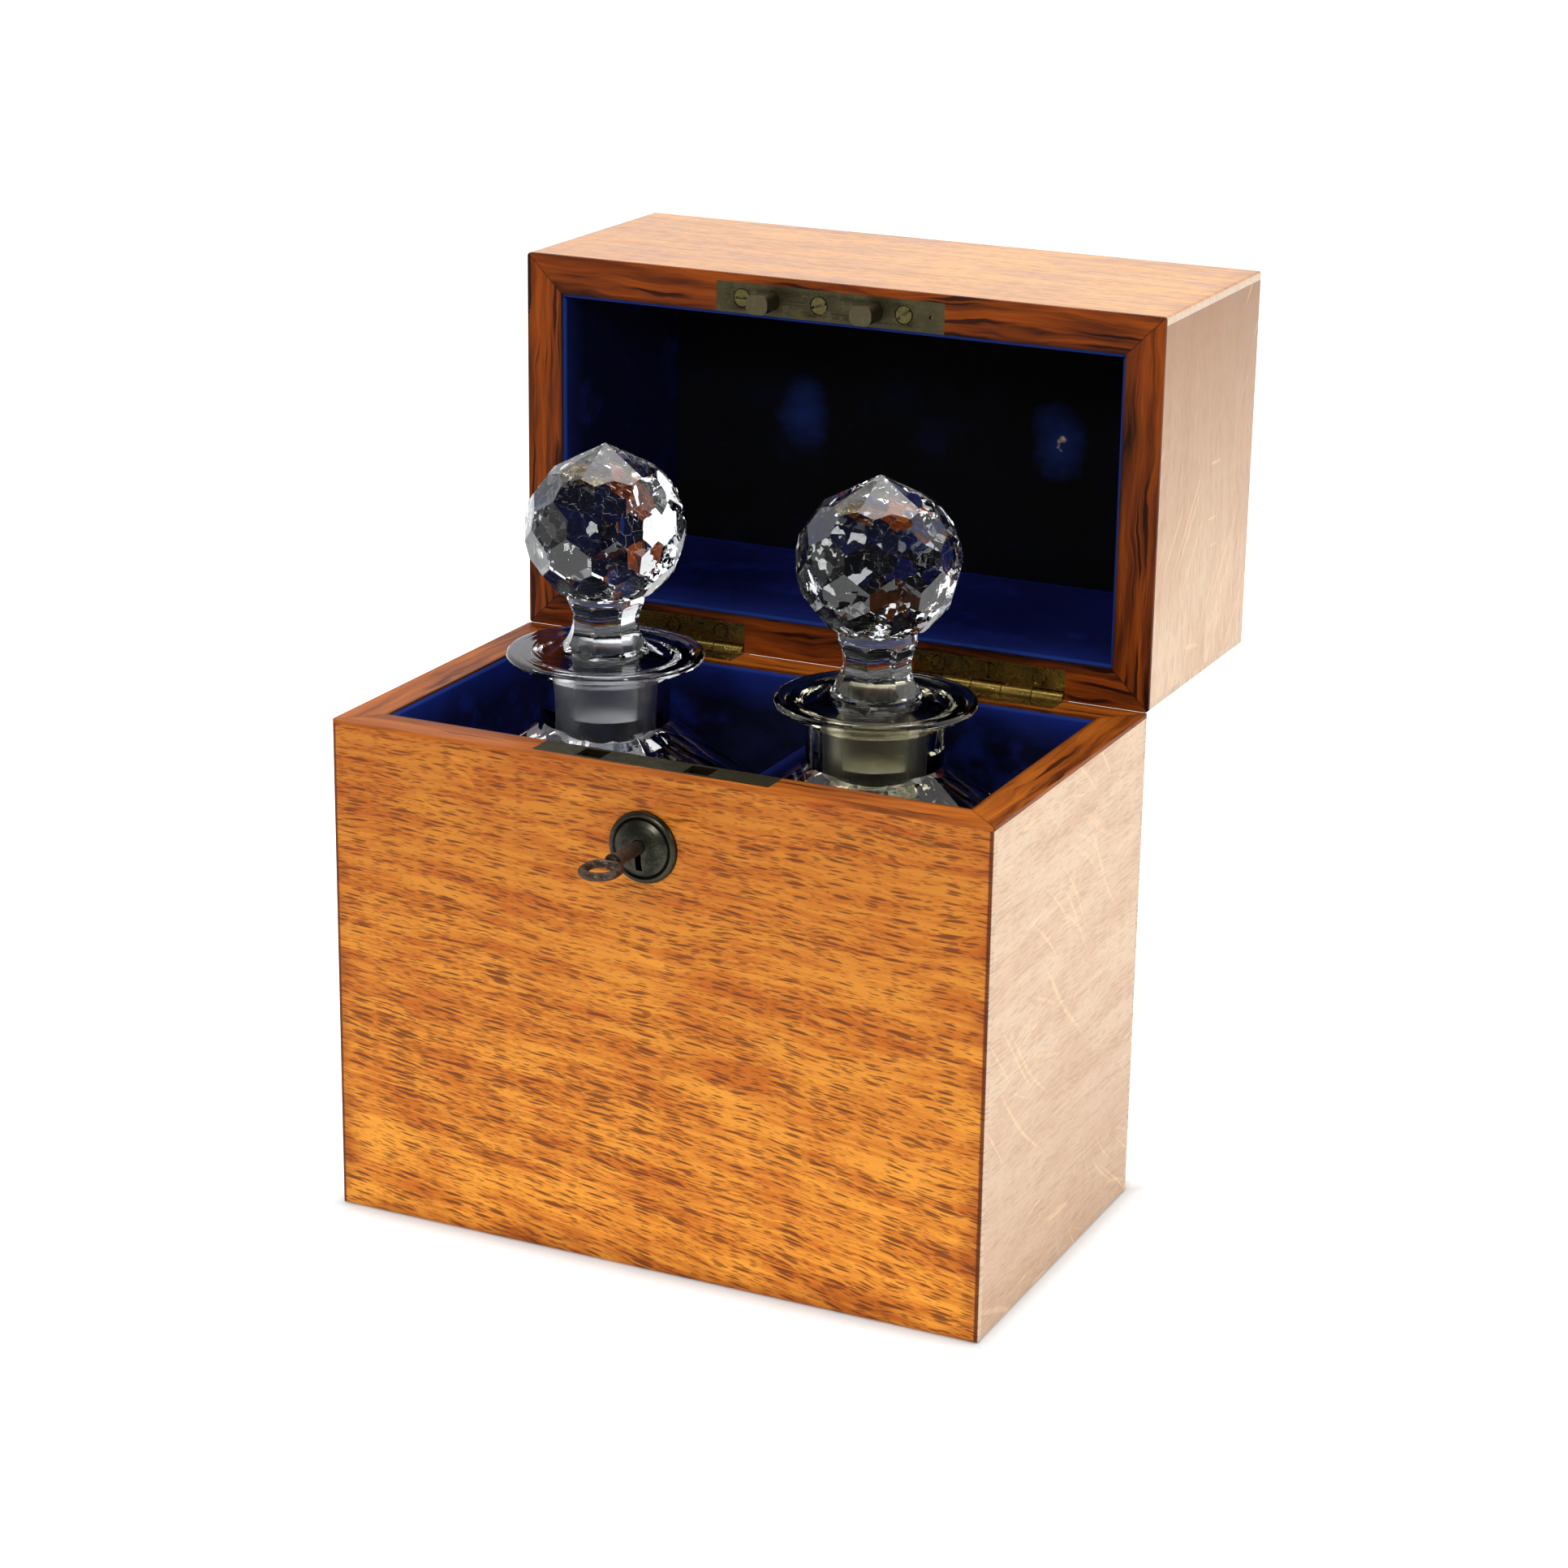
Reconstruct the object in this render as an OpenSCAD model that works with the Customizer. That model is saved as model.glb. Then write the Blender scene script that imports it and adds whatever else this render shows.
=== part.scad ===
// Oak box for two cut-glass decanters, with its lid open.
// Millimetres. X runs along the width, Y from front to back, Z up.
// The origin is the centre of the underside, and the front face looks along -Y.

/* [Box] */
// Width over the side boards
box_w = 212; // [205:1:240]
// Depth over the front and back boards
box_d = 120; // [118:1:140]
// Height of the base, underside to rim
base_h = 156; // [140:1:180]
// Height of the lid, rim to top
lid_h = 86; // [80:1:88]
// Thickness of the four wall boards
wall_t = 12; // [12:0.5:14]
// Thickness of the bottom board
bottom_t = 8; // [5:0.5:12]
// Thickness of the lid's top board
top_t = 6; // [4:0.5:8]
// Width of the end lap that the front and back boards show on the sides
lap_t = 2.6; // [2:0.1:5]
// Ledge that the bottom and top boards are let into the walls
ledge_t = 5; // [3:0.5:8]
// Thickness of the veneer band on the rims
band_t = 1.2; // [0.8:0.1:2]
// Rounding of the outer edges
edge_r = 1; // [0.4:0.1:2]
// Gap between the two rims when the lid is shut
rim_gap = 0.1; // [0.1:0.1:0.6]

/* [Velvet] */
// Thickness of the lining on the walls
lining_t = 1.2; // [0.8:0.1:2]
// Thickness of the lining on the floor
floor_lining_t = 1.5; // [1:0.1:3]
// Thickness of the lining under the lid's top
top_lining_t = 0.8; // [0.5:0.1:1.5]
// Distance of the lining's edge below the rim
lining_drop = 0.8; // [0.5:0.1:3]
// Thickness of the partition between the bottles
partition_t = 3; // [2:0.5:6]
// Distance of the partition's top below the rim
partition_drop = 22; // [15:1:60]

/* [Hinges] */
// Length of each hinge
hinge_len = 50; // [40:1:60]
// Distance from the side of the box to the end of a hinge
hinge_inset = 27; // [15:1:35]
// Width of a leaf, from the pin's axis
leaf_w = 9.5; // [8:0.5:10.5]
// Thickness of a leaf
leaf_t = 1.4; // [1:0.1:1.8]
// Radius of the knuckles
knuckle_r = 2.6; // [2.2:0.1:3]
// Number of knuckles, shared between the two leaves
knuckles = 5; // [3:2:7]
// Gap between two knuckles
knuckle_gap = 0.3; // [0.2:0.1:0.5]
// Radius of the hinge pin
hinge_pin_r = 0.9; // [0.7:0.1:1.2]
// Running fit of the hinge pin
pin_fit = 0.05; // [0.02:0.01:0.1]
// Reach of the stop lip beyond the knuckle
stop_lip = 1.6; // [1:0.1:2.5]
// Play left between the two stop lips, in degrees
stop_play = 2; // [1:1:4]

/* [Screws] */
// Radius of a leaf screw's head
leaf_screw_r = 2.1; // [1.8:0.1:2.5]
// Radius of a plate screw's head
plate_screw_r = 2.6; // [2.2:0.1:3]
// Height of a screw's head
screw_head_t = 1.2; // [0.9:0.1:1.4]
// Radius of a screw's shank
screw_shank_r = 0.9; // [0.7:0.1:1.2]
// Length of a screw
screw_len = 8; // [6:0.5:9]
// Width of a screw's slot
screw_slot_w = 0.8; // [0.4:0.1:0.9]
// Depth of a screw's slot
screw_slot_d = 0.6; // [0.3:0.1:0.8]
// Clearance round a screw in its hole
screw_fit = 0.05; // [0.02:0.01:0.15]
// Width of the open ring round a screw's head
screw_ring_w = 0.4; // [0.2:0.05:0.6]
// Depth of the open ring round a screw's head
screw_ring_d = 0.35; // [0.2:0.05:0.5]

/* [Lock] */
// Distance of the lock's middle to the left of the box's middle
lock_shift = 1.8; // [0:0.1:4]
// Length of the lock plate and of the link plate
plate_len = 76; // [76:1:90]
// Thickness of both plates
plate_t = 1.4; // [1:0.1:1.8]
// Wood left in front of both plates
plate_margin = 2.5; // [2:0.1:3]
// Height of the lock case below its plate
case_h = 36; // [34:1:45]
// Thickness of the case's walls and of its cap
case_t = 1; // [0.8:0.1:1.2]
// Distance of the case's end from the end of the plate
case_inset = 1.8; // [1.5:0.1:2.2]
// Clearance of the lock in its mortise
lock_fit = 0.1; // [0.05:0.05:0.2]
// Strip of the cap below the case, for its screws
cap_skirt = 7; // [6.5:0.5:10]
// Distance of a cap screw from the end of the plate
cap_screw_inset = 8; // [5:1:23]
// Distance of the left link from the plate's left end
left_link_inset = 19; // [18.5:0.5:22]
// Distance of the right link from the plate's right end
right_link_inset = 22.5; // [18:0.5:24]
// Width of a link along the plate
link_w = 4.6; // [4:0.1:5]
// Width of a link across the plate
link_d = 6; // [5:0.1:6.2]
// Length of a link below its plate
link_len = 8.5; // [8:0.1:9]
// Reach of a link's nose beyond its stem
nose_len = 2.6; // [2:0.1:2.8]
// Thickness of a link's nose
nose_t = 2.4; // [2:0.1:2.8]
// Clearance between the links, their slots and the bolt
link_fit = 0.4; // [0.3:0.1:0.5]
// Thickness of the bolt
bolt_t = 3; // [2:0.1:3.4]
// Height of the bolt's bar
bolt_h = 7.6; // [6.6:0.1:8]
// Travel of the bolt for a half turn of the key
bolt_travel = 4.8; // [4.2:0.1:4.8]
// Width of each upright arm on the bolt
arm_w = 2.6; // [2:0.1:2.8]
// Free length of each finger on the bolt
finger_len = 3; // [2.6:0.1:3.2]
// Radius of the two stumps that guide the bolt
stump_r = 1.3; // [1:0.1:1.5]
// Distance of a stump from the end of the plate
stump_inset = 18; // [16:1:20]
// Share of the room between the links that the bolt's spring spans
spring_share = 0.74; // [0.55:0.01:0.8]
// Rise of the bolt's spring
spring_rise = 2.6; // [1.5:0.1:3]
// Thickness of the bolt's spring
spring_t = 0.5; // [0.3:0.1:0.7]

/* [Keyhole and key] */
// Distance of the key's axis below the rim
key_drop = 22; // [21.5:0.5:24]
// Distance of the boss's centre below the key's axis
boss_drop = 1; // [0:0.5:2]
// Radius of the boss
boss_r = 10.8; // [9:0.2:13]
// Height of the boss
boss_h = 3.8; // [2.4:0.2:4.4]
// Radius of the key's shaft
shaft_r = 2; // [1.5:0.1:2.1]
// Clearance of the key in the keyholes
key_fit = 0.25; // [0.2:0.05:0.4]
// Radius of the drill pin
drill_pin_r = 0.8; // [0.6:0.1:0.9]
// Clearance of the key's pipe on the drill pin
pipe_fit = 0.15; // [0.1:0.05:0.2]
// Depth of the key's pipe
pipe_len = 6; // [5:0.5:7]
// Reach of the key's bit from the axis
bit_r = 7.2; // [6.8:0.1:7.4]
// Thickness of the key's bit
bit_t = 1.5; // [1.4:0.1:2.2]
// Length of the key's bit
bit_len = 4.4; // [4:0.1:4.8]
// Distance of the middle of the bow from the front face
bow_reach = 26; // [22:1:34]
// Radius of the wire of the bow
bow_wire_r = 1.25; // [1:0.05:1.5]
// Radius of the bow's round ends, to the middle of the wire
bow_end_r = 4.8; // [4:0.2:7]
// Straight length in each side of the bow
bow_straight = 2; // [1:0.5:5]

/* [Decanters] */
// Clearance of a decanter in its compartment
bottle_clear = 4.65; // [4.2:0.05:7]
// Distance of the left decanter from the partition
left_gap = 3.75; // [0.5:0.05:7]
// Distance of the right decanter from the partition
right_gap = 0.75; // [0.5:0.05:7]
// Width of the cut across each corner of the body
cant = 9; // [6:0.5:14]
// Thickness of the glass at the walls
glass_t = 4.5; // [3:0.5:7]
// Thickness of the glass at the foot
foot_t = 9; // [6:0.5:14]
// Distance of the foot of the neck below the rim
neck_drop = 9.5; // [7:0.5:14]
// Fall of the shoulder's flats from the neck to the corners
shoulder_fall = 23; // [16:1:30]
// Radius of the left neck
left_neck_r = 19.5; // [18.5:0.1:21]
// Radius of the right neck
right_neck_r = 20.4; // [18.5:0.1:21]
// Height of the left lip above the rim
left_lip_rise = 13; // [10:0.5:14]
// Height of the right lip above the rim
right_lip_rise = 11; // [10:0.5:14]
// Radius of the lips
lip_r = 30; // [27:0.5:32]
// Radius of the lips' rounded edge
lip_edge_r = 1.3; // [1:0.1:2]
// Rise of a lip from its edge to the mouth
lip_crown = 0.6; // [0.4:0.1:1.5]
// Depth of the cove under a lip
lip_cove = 4.5; // [3:0.5:6]

/* [Stoppers] */
// Radius of the plug at its top
plug_top_r = 10.1; // [9:0.1:11]
// Radius of the plug at its foot
plug_foot_r = 9.4; // [8:0.1:9.6]
// Length of the plug
plug_len = 20; // [15:0.5:21]
// Clearance of the plug in the neck
plug_fit = 0.2; // [0.15:0.05:0.3]
// Gap under a stopper and under a decanter
seat_gap = 0.3; // [0.2:0.05:0.4]
// Radius of the stopper's foot on the lip
stopper_foot_r = 13.5; // [12.5:0.5:16]
// Radius of the stopper's neck where it runs into the ball
neck_top_r = 11.2; // [10.6:0.1:12]
// Distance of the flats of the stopper's neck from its axis
stopper_neck_r = 9.6; // [8.5:0.1:10.5]
// Radius of the wheel that cuts the panels of the neck
neck_wheel_r = 13; // [11:0.5:20]
// Number of panels round the neck
neck_panels = 8; // [6:1:10]
// Distance of the ball's facets from its centre
facet_r = 23.2; // [21:0.1:23.4]
// Height of the ball's point over its centre
point_h = 26; // [25.4:0.1:27]
// Number of facets in a row of the ball
ball_facets = 10; // [8:1:12]
// Angle between two rows of facets
row_step = 25; // [24:0.5:27]
// Number of rows of facets below the crown
ball_rows = 5; // [4:1:5]
// Gap between the left stopper's point and the lid
left_tip_gap = 1.2; // [0.3:0.1:4]
// Gap between the right stopper's point and the lid
right_tip_gap = 0.4; // [0.3:0.1:4]

/* [Hidden] */
$fn = 96;

oak = "#b9762d";
oak_band = "#8f5423";
velvet = "#101a5c";
brass = "#8a7a44";
bronze = "#2c2a26";
steel = "#6b5a50";
glass = "#dfe8ee";

eps = 0.01;
cut = 1;
half_w = box_w / 2;
half_d = box_d / 2;
shut_z = base_h + rim_gap;
lid_top_z = shut_z + lid_h;
axis_z = base_h + rim_gap / 2;
inner_w = box_w - 2 * (wall_t + lining_t);
inner_d = box_d - 2 * (wall_t + lining_t);
floor_z = bottom_t + floor_lining_t;
ceiling_z = lid_top_z - top_t - top_lining_t;
ledge_w = wall_t - ledge_t;
rim_over = 2 * edge_r;

hinge_x = half_w - hinge_inset - hinge_len / 2;
knuckle_pitch = hinge_len / knuckles;
lip_in_r = knuckle_r + knuckle_gap;
lip_out_r = knuckle_r + stop_lip;
leaf_screw_y = half_d - (leaf_w + lip_in_r) / 2;
leaf_screw_pitch = hinge_len / 3;
leaf_screw_count = 3;
slot_turn = 37;

plate_y0 = -half_d + plate_margin;
plate_y1 = -half_d + wall_t;
plate_y = (plate_y0 + plate_y1) / 2;
plate_screw_shares = [-0.386, -0.045, 0.325];
plate_screw_xs = [for (share = plate_screw_shares) share * plate_len];
peep_r = 0.6;
peep_inset = 4.5;
peep_x = plate_len / 2 - peep_inset;

case_x = plate_len / 2 - case_inset;
case_z1 = base_h - plate_t;
case_z0 = case_z1 - case_h;
case_y1 = plate_y1 - case_t;
cap_z0 = case_z0 - cap_skirt;
cap_screw_z = case_z0 - cap_skirt / 2;
link_y = (plate_y0 + case_t + case_y1) / 2;
left_link_x = -plate_len / 2 + left_link_inset;
right_link_x = plate_len / 2 - right_link_inset;
link_xs = [left_link_x, right_link_x];
stump_x = plate_len / 2 - stump_inset;
cap_screw_x = plate_len / 2 - cap_screw_inset;
link_tip_z = shut_z - link_len;
nose_top_z = link_tip_z + nose_t;
bolt_y0 = link_y - bolt_t / 2;
bolt_z1 = link_tip_z - link_fit;
bolt_z0 = bolt_z1 - bolt_h;
finger_z0 = nose_top_z + link_fit;
finger_z1 = case_z1 - link_fit;
finger_gap = bolt_travel - nose_len + link_fit;
stump_rise = 1;
stump_z = (bolt_z0 + bolt_z1) / 2 + stump_rise;
slot_back = bolt_travel;
slot_fore = bolt_travel / 2;
spring_lo = left_link_x + link_w / 2 + link_fit + slot_fore;
spring_hi = right_link_x - link_w / 2 - nose_len - finger_gap - finger_len - arm_w;
spring_x = (spring_lo + spring_hi) / 2;
spring_span = spring_share * (spring_hi - spring_lo);

key_z = base_h - key_drop;
boss_z = key_z - boss_drop;
hole_r = shaft_r + key_fit;
hole_slot_w = bit_t + 2 * key_fit;
hole_slot_l = bit_r + key_fit;
key_end_y = case_y1 - key_fit;
bit_y0 = link_y - bit_len / 2;
bit_corner_r = norm([bit_r, bit_t / 2]);
talon_z1 = key_z + bit_corner_r + link_fit;
talon_reach = sqrt(pow(bit_corner_r, 2) - pow(bolt_z0 - key_z, 2)) + link_fit;
bow_y = -half_d - bow_reach;
collar_r = 2.7;
collar_len = 1.6;
wire_facets = 32;
boss_roll = 1.4;
boss_roll_bulge = 0.6;
boss_groove = 2;
boss_groove_w = 0.4;
boss_dome_bulge = 0.7;

bay_w = (inner_w - partition_t) / 2;
bottle_w = min(bay_w, inner_d) - 2 * bottle_clear;
left_x = -(partition_t + bottle_w) / 2 - left_gap;
right_x = (partition_t + bottle_w) / 2 + right_gap;
bottle_z = floor_z + seat_gap;
neck_z = base_h - neck_drop;
wide_r = norm([bottle_w / 2, bottle_w / 2 - cant]) + cut;
corner_d = (bottle_w - cant) / sqrt(2);
shoulder_sides = 8;
shoulder_cap = 3;
hollow_rise = 1.6;
neck_flare = 3;
neck_flare_h = 4;
flare_lap = 1.6;
flare_step = 2.1;
lip_cove_bulge = 1.2;
hollow_drop = 2;
arc_steps = 6;

left_lip_z = base_h + left_lip_rise;
right_lip_z = base_h + right_lip_rise;
left_point_z = ceiling_z - left_tip_gap;
right_point_z = ceiling_z - right_tip_gap;
crown_lat = 62;
row_lat = 61;
ball_foot_lat = 65;
neck_lift = 0.5;
neck_sink = 4;
eighth_turn = 45;

// Points on a round arc from a to b, whose middle stands rise to the left of the line.
function bow_arc(a, b, rise, n = arc_steps) =
    let (d = norm(b - a), u = (b - a) / d, left = [-u[1], u[0]])
    let (r = (d * d / 4 + rise * rise) / (2 * rise))
    let (c = (a + b) / 2 + left * (rise - r), half = asin(d / 2 / r))
    [for (i = [0:n]) let (t = half * (2 * i / n - 1)) c + r * (u * sin(t) + left * cos(t))];

// Lower corner and size of a plain block between two corners.
module block(a, b) {
    translate(a) cube(b - a);
}

// Puts what is drawn shut in its open place, a quarter turn back about the hinge pins.
module opened() {
    translate([0, half_d, axis_z]) rotate([-90, 0, 0]) translate([0, -half_d, -axis_z]) children();
}

// Puts what is drawn about the lock's own middle in its place on the box.
module at_lock() {
    translate([-lock_shift, 0, 0]) children();
}

// Rectangle about the origin with round corners.
module round_rect(w, h, r) {
    square([w - 2 * r, h], center = true);
    square([w, h - 2 * r], center = true);
    for (x = [-1, 1], y = [-1, 1]) translate([x * (w / 2 - r), y * (h / 2 - r)]) circle(r);
}

// Outer block of the base or the lid, with every edge rounded. It runs past the rim, whose edges stay crisp.
module rounded_block(z0, h) {
    translate([0, 0, z0 + h / 2]) intersection() {
        linear_extrude(h, center = true) round_rect(box_w, box_d, edge_r);
        rotate([90, 0, 0]) linear_extrude(box_d, center = true) round_rect(box_w, h, edge_r);
        rotate([90, 0, 90]) linear_extrude(box_w, center = true) round_rect(box_d, h, edge_r);
    }
}

// Front or back board: full width, with a lap at each end that hides the side boards.
module end_board(side, z0, z1) {
    outer = side * half_d;
    inner = side * (half_d - wall_t);
    lap = side * (half_d - lap_t);
    difference() {
        block([-half_w, min(outer, inner), z0], [half_w, max(outer, inner), z1]);
        for (x = [-1, 1]) {
            block([min(x * (half_w - wall_t), x * (half_w + cut)), min(lap, inner - side * cut), z0 - cut],
                [max(x * (half_w - wall_t), x * (half_w + cut)), max(lap, inner - side * cut), z1 + cut]);
        }
    }
}

// Side board between the laps of the front and back boards.
module side_board(side, z0, z1) {
    a = side * half_w;
    b = side * (half_w - wall_t);
    block([min(a, b), -half_d + lap_t, z0], [max(a, b), half_d - lap_t, z1]);
}

// Space of the bottom or top board, let into a rebate round the walls.
module panel(z0, z1) {
    block([-half_w + ledge_w, -half_d + ledge_w, z0], [half_w - ledge_w, half_d - ledge_w, z1]);
}

// Four mitred strips of veneer between two heights.
module band(z0, z1) {
    strip = [[-half_w, -half_d], [half_w, -half_d], [half_w - wall_t, -half_d + wall_t],
        [-half_w + wall_t, -half_d + wall_t]];
    strip_side = [[half_w, -half_d], [half_w, half_d], [half_w - wall_t, half_d - wall_t],
        [half_w - wall_t, -half_d + wall_t]];
    for (turn = [0, 180]) rotate([0, 0, turn]) {
        translate([0, 0, z0]) linear_extrude(z1 - z0) polygon(strip);
        translate([0, 0, z0]) linear_extrude(z1 - z0) polygon(strip_side);
    }
}

// Recess for a hinge leaf and its knuckles, below (-1) or above (1) the gap of the rims.
module hinge_recess(level) {
    z = axis_z + level * rim_gap / 2;
    for (x = [-hinge_x, hinge_x]) {
        block([x - hinge_len / 2, half_d - leaf_w, min(z + level * leaf_t, z - level * cut)],
            [x + hinge_len / 2, half_d + cut, max(z + level * leaf_t, z - level * cut)]);
        translate([x - hinge_len / 2, half_d, axis_z]) rotate([0, 90, 0])
            cylinder(r = lip_in_r, h = hinge_len);
    }
}

// Countersunk screw whose head lies level with z = 0, pointing down.
module screw_shape(head_r, grow) {
    rotate_extrude() polygon([[0, 0], [head_r + grow, 0], [screw_shank_r + grow, -screw_head_t],
        [screw_shank_r + grow, -screw_len + 2 * screw_shank_r], [0, -screw_len - grow]]);
}

// Hole for a countersunk screw, with an open ring round its head.
module screw_hole(head_r) {
    screw_shape(head_r, screw_fit);
    translate([0, 0, -screw_ring_d]) cylinder(r = head_r + screw_ring_w, h = screw_ring_d);
}

module screw(head_r, turn) {
    difference() {
        screw_shape(head_r, 0);
        rotate([0, 0, turn]) translate([0, 0, -screw_slot_d / 2 + cut / 2])
            cube([2 * head_r + cut, screw_slot_w, screw_slot_d + cut], center = true);
    }
}

// Places of the six leaf screws at the level of a leaf's face.
module leaf_screw_places(level) {
    for (x = [-hinge_x, hinge_x], i = [0:leaf_screw_count - 1]) {
        along = x + (i - (leaf_screw_count - 1) / 2) * leaf_screw_pitch;
        translate([along, leaf_screw_y, axis_z + level * rim_gap / 2])
            rotate([level < 0 ? 0 : 180, 0, 0]) rotate([0, 0, slot_turn * i + x]) children();
    }
}

module leaf_screw_holes(level) {
    leaf_screw_places(level) screw_hole(leaf_screw_r);
}

// Places of the link plate's screws on the shut lid's rim.
module link_screw_places() {
    for (i = [0:len(plate_screw_xs) - 1]) {
        translate([plate_screw_xs[i], plate_y, shut_z]) rotate([180, 0, 0])
            rotate([0, 0, slot_turn * i / 2]) children();
    }
}

module cap_screw_places() {
    for (x = [-cap_screw_x, cap_screw_x]) {
        translate([x, plate_y1, cap_screw_z]) rotate([-90, 0, 0]) children();
    }
}

// Keyhole: a round hole on the key's axis with a slot below it, along Y.
module keyhole(y0, y1, grow) {
    translate([0, y1, key_z]) rotate([90, 0, 0]) linear_extrude(y1 - y0) {
        circle(hole_r + grow);
        translate([-hole_slot_w / 2 - grow, -hole_slot_l - grow])
            square([hole_slot_w + 2 * grow, hole_slot_l + grow]);
    }
}

// Base of the box

module base_front() {
    color(oak) difference() {
        intersection() {
            end_board(-1, 0, base_h - band_t);
            rounded_block(0, base_h + rim_over);
        }
        panel(-cut, bottom_t);
        at_lock() {
            block([-plate_len / 2, plate_y0, base_h - plate_t],
                [plate_len / 2, plate_y1 + cut, base_h + cut]);
            block([-case_x - lock_fit, plate_y0, case_z0 - lock_fit],
                [case_x + lock_fit, plate_y1 + cut, base_h]);
            block([-plate_len / 2, case_y1, cap_z0], [plate_len / 2, plate_y1 + cut, base_h]);
            keyhole(-half_d - cut, plate_y0 + cut, key_fit);
            cap_screw_places() screw_hole(plate_screw_r);
        }
    }
}

module base_back() {
    color(oak) difference() {
        intersection() {
            end_board(1, 0, base_h - band_t);
            rounded_block(0, base_h + rim_over);
        }
        panel(-cut, bottom_t);
        hinge_recess(-1);
        leaf_screw_holes(-1);
    }
}

module base_side(side) {
    color(oak) difference() {
        intersection() {
            side_board(side, 0, base_h - band_t);
            rounded_block(0, base_h + rim_over);
        }
        panel(-cut, bottom_t);
    }
}

module base_left_side() { base_side(-1); }
module base_right_side() { base_side(1); }

module base_bottom() {
    color(oak) panel(0, bottom_t);
}

module base_rim_band() {
    color(oak_band) difference() {
        intersection() {
            band(base_h - band_t, base_h);
            rounded_block(0, base_h + rim_over);
        }
        at_lock() block([-plate_len / 2, plate_y0, base_h - plate_t],
            [plate_len / 2, plate_y1 + cut, base_h + cut]);
        hinge_recess(-1);
    }
}

// Lining on one wall, between two heights. The front and back pieces run the full width.
module wall_lining(axis, side, z0, z1) {
    x = half_w - wall_t;
    y = half_d - wall_t;
    if (axis == "y") {
        block([-x, side > 0 ? y - lining_t : -y, z0], [x, side > 0 ? y : -y + lining_t, z1]);
    } else {
        block([side > 0 ? x - lining_t : -x, -y + lining_t, z0],
            [side > 0 ? x : -x + lining_t, y - lining_t, z1]);
    }
}

module base_lining(axis, side) {
    color(velvet) wall_lining(axis, side, floor_z, base_h - lining_drop);
}

module base_front_lining() { base_lining("y", -1); }
module base_back_lining() { base_lining("y", 1); }
module base_left_lining() { base_lining("x", -1); }
module base_right_lining() { base_lining("x", 1); }

module base_floor_lining() {
    color(velvet) block([-half_w + wall_t, -half_d + wall_t, bottom_t],
        [half_w - wall_t, half_d - wall_t, floor_z]);
}

module partition() {
    color(velvet) block([-partition_t / 2, -inner_d / 2, floor_z],
        [partition_t / 2, inner_d / 2, base_h - partition_drop]);
}

// Round boss with a rolled edge, a groove and a low dome.
module keyhole_boss() {
    rim_r = boss_r - boss_roll;
    groove_r = boss_r - boss_groove;
    color(bronze) at_lock() difference() {
        translate([0, -half_d, boss_z]) rotate([90, 0, 0]) rotate_extrude() polygon(concat(
            [[0, 0]],
            bow_arc([boss_r, 0], [rim_r, boss_h / 2], -boss_roll_bulge),
            [[groove_r, boss_h / 3]],
            bow_arc([groove_r - boss_groove_w, boss_h / 2], [0, boss_h], -boss_dome_bulge)));
        keyhole(-half_d - boss_h - cut, -half_d + cut, 0);
    }
}

// Lock

module lock_plate() {
    color(brass) at_lock() difference() {
        block([-plate_len / 2, plate_y0, base_h - plate_t], [plate_len / 2, plate_y1, base_h]);
        for (x = link_xs) {
            reach = link_d / 2 + link_fit;
            block([x - link_w / 2 - nose_len - link_fit, link_y - reach, base_h - plate_t - cut],
                [x + link_w / 2 + link_fit, link_y + reach, base_h + cut]);
        }
    }
}

// Tray open towards the inside of the box, with the keyhole and the two stumps of the bolt.
module lock_case() {
    color(brass) at_lock() {
        difference() {
            block([-case_x, plate_y0, case_z0], [case_x, case_y1, case_z1]);
            block([-case_x + case_t, plate_y0 + case_t, case_z0 + case_t],
                [case_x - case_t, case_y1 + cut, case_z1 + cut]);
            keyhole(plate_y0 - cut, plate_y0 + case_t + cut, 0);
        }
        for (x = [-stump_x, stump_x]) {
            translate([x, plate_y0 + case_t / 2, stump_z]) rotate([-90, 0, 0])
                cylinder(r = stump_r, h = case_y1 - plate_y0 - case_t / 2);
        }
    }
}

module lock_cap() {
    color(brass) at_lock() difference() {
        block([-plate_len / 2, case_y1, cap_z0], [plate_len / 2, plate_y1, case_z1]);
        cap_screw_places() screw_hole(plate_screw_r);
        translate([0, case_y1 - cut, key_z]) rotate([-90, 0, 0])
            cylinder(r = drill_pin_r, h = case_t + 2 * cut);
    }
}

// Pin that the key's pipe turns on, riveted in the cap.
module lock_drill_pin() {
    color(steel) at_lock() translate([0, key_end_y - pipe_len + key_fit, key_z]) rotate([-90, 0, 0])
        cylinder(r = drill_pin_r, h = plate_y1 - key_end_y + pipe_len - key_fit);
}

module lock_screws() {
    color(brass) at_lock() cap_screw_places() screw(plate_screw_r, slot_turn);
}

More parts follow.
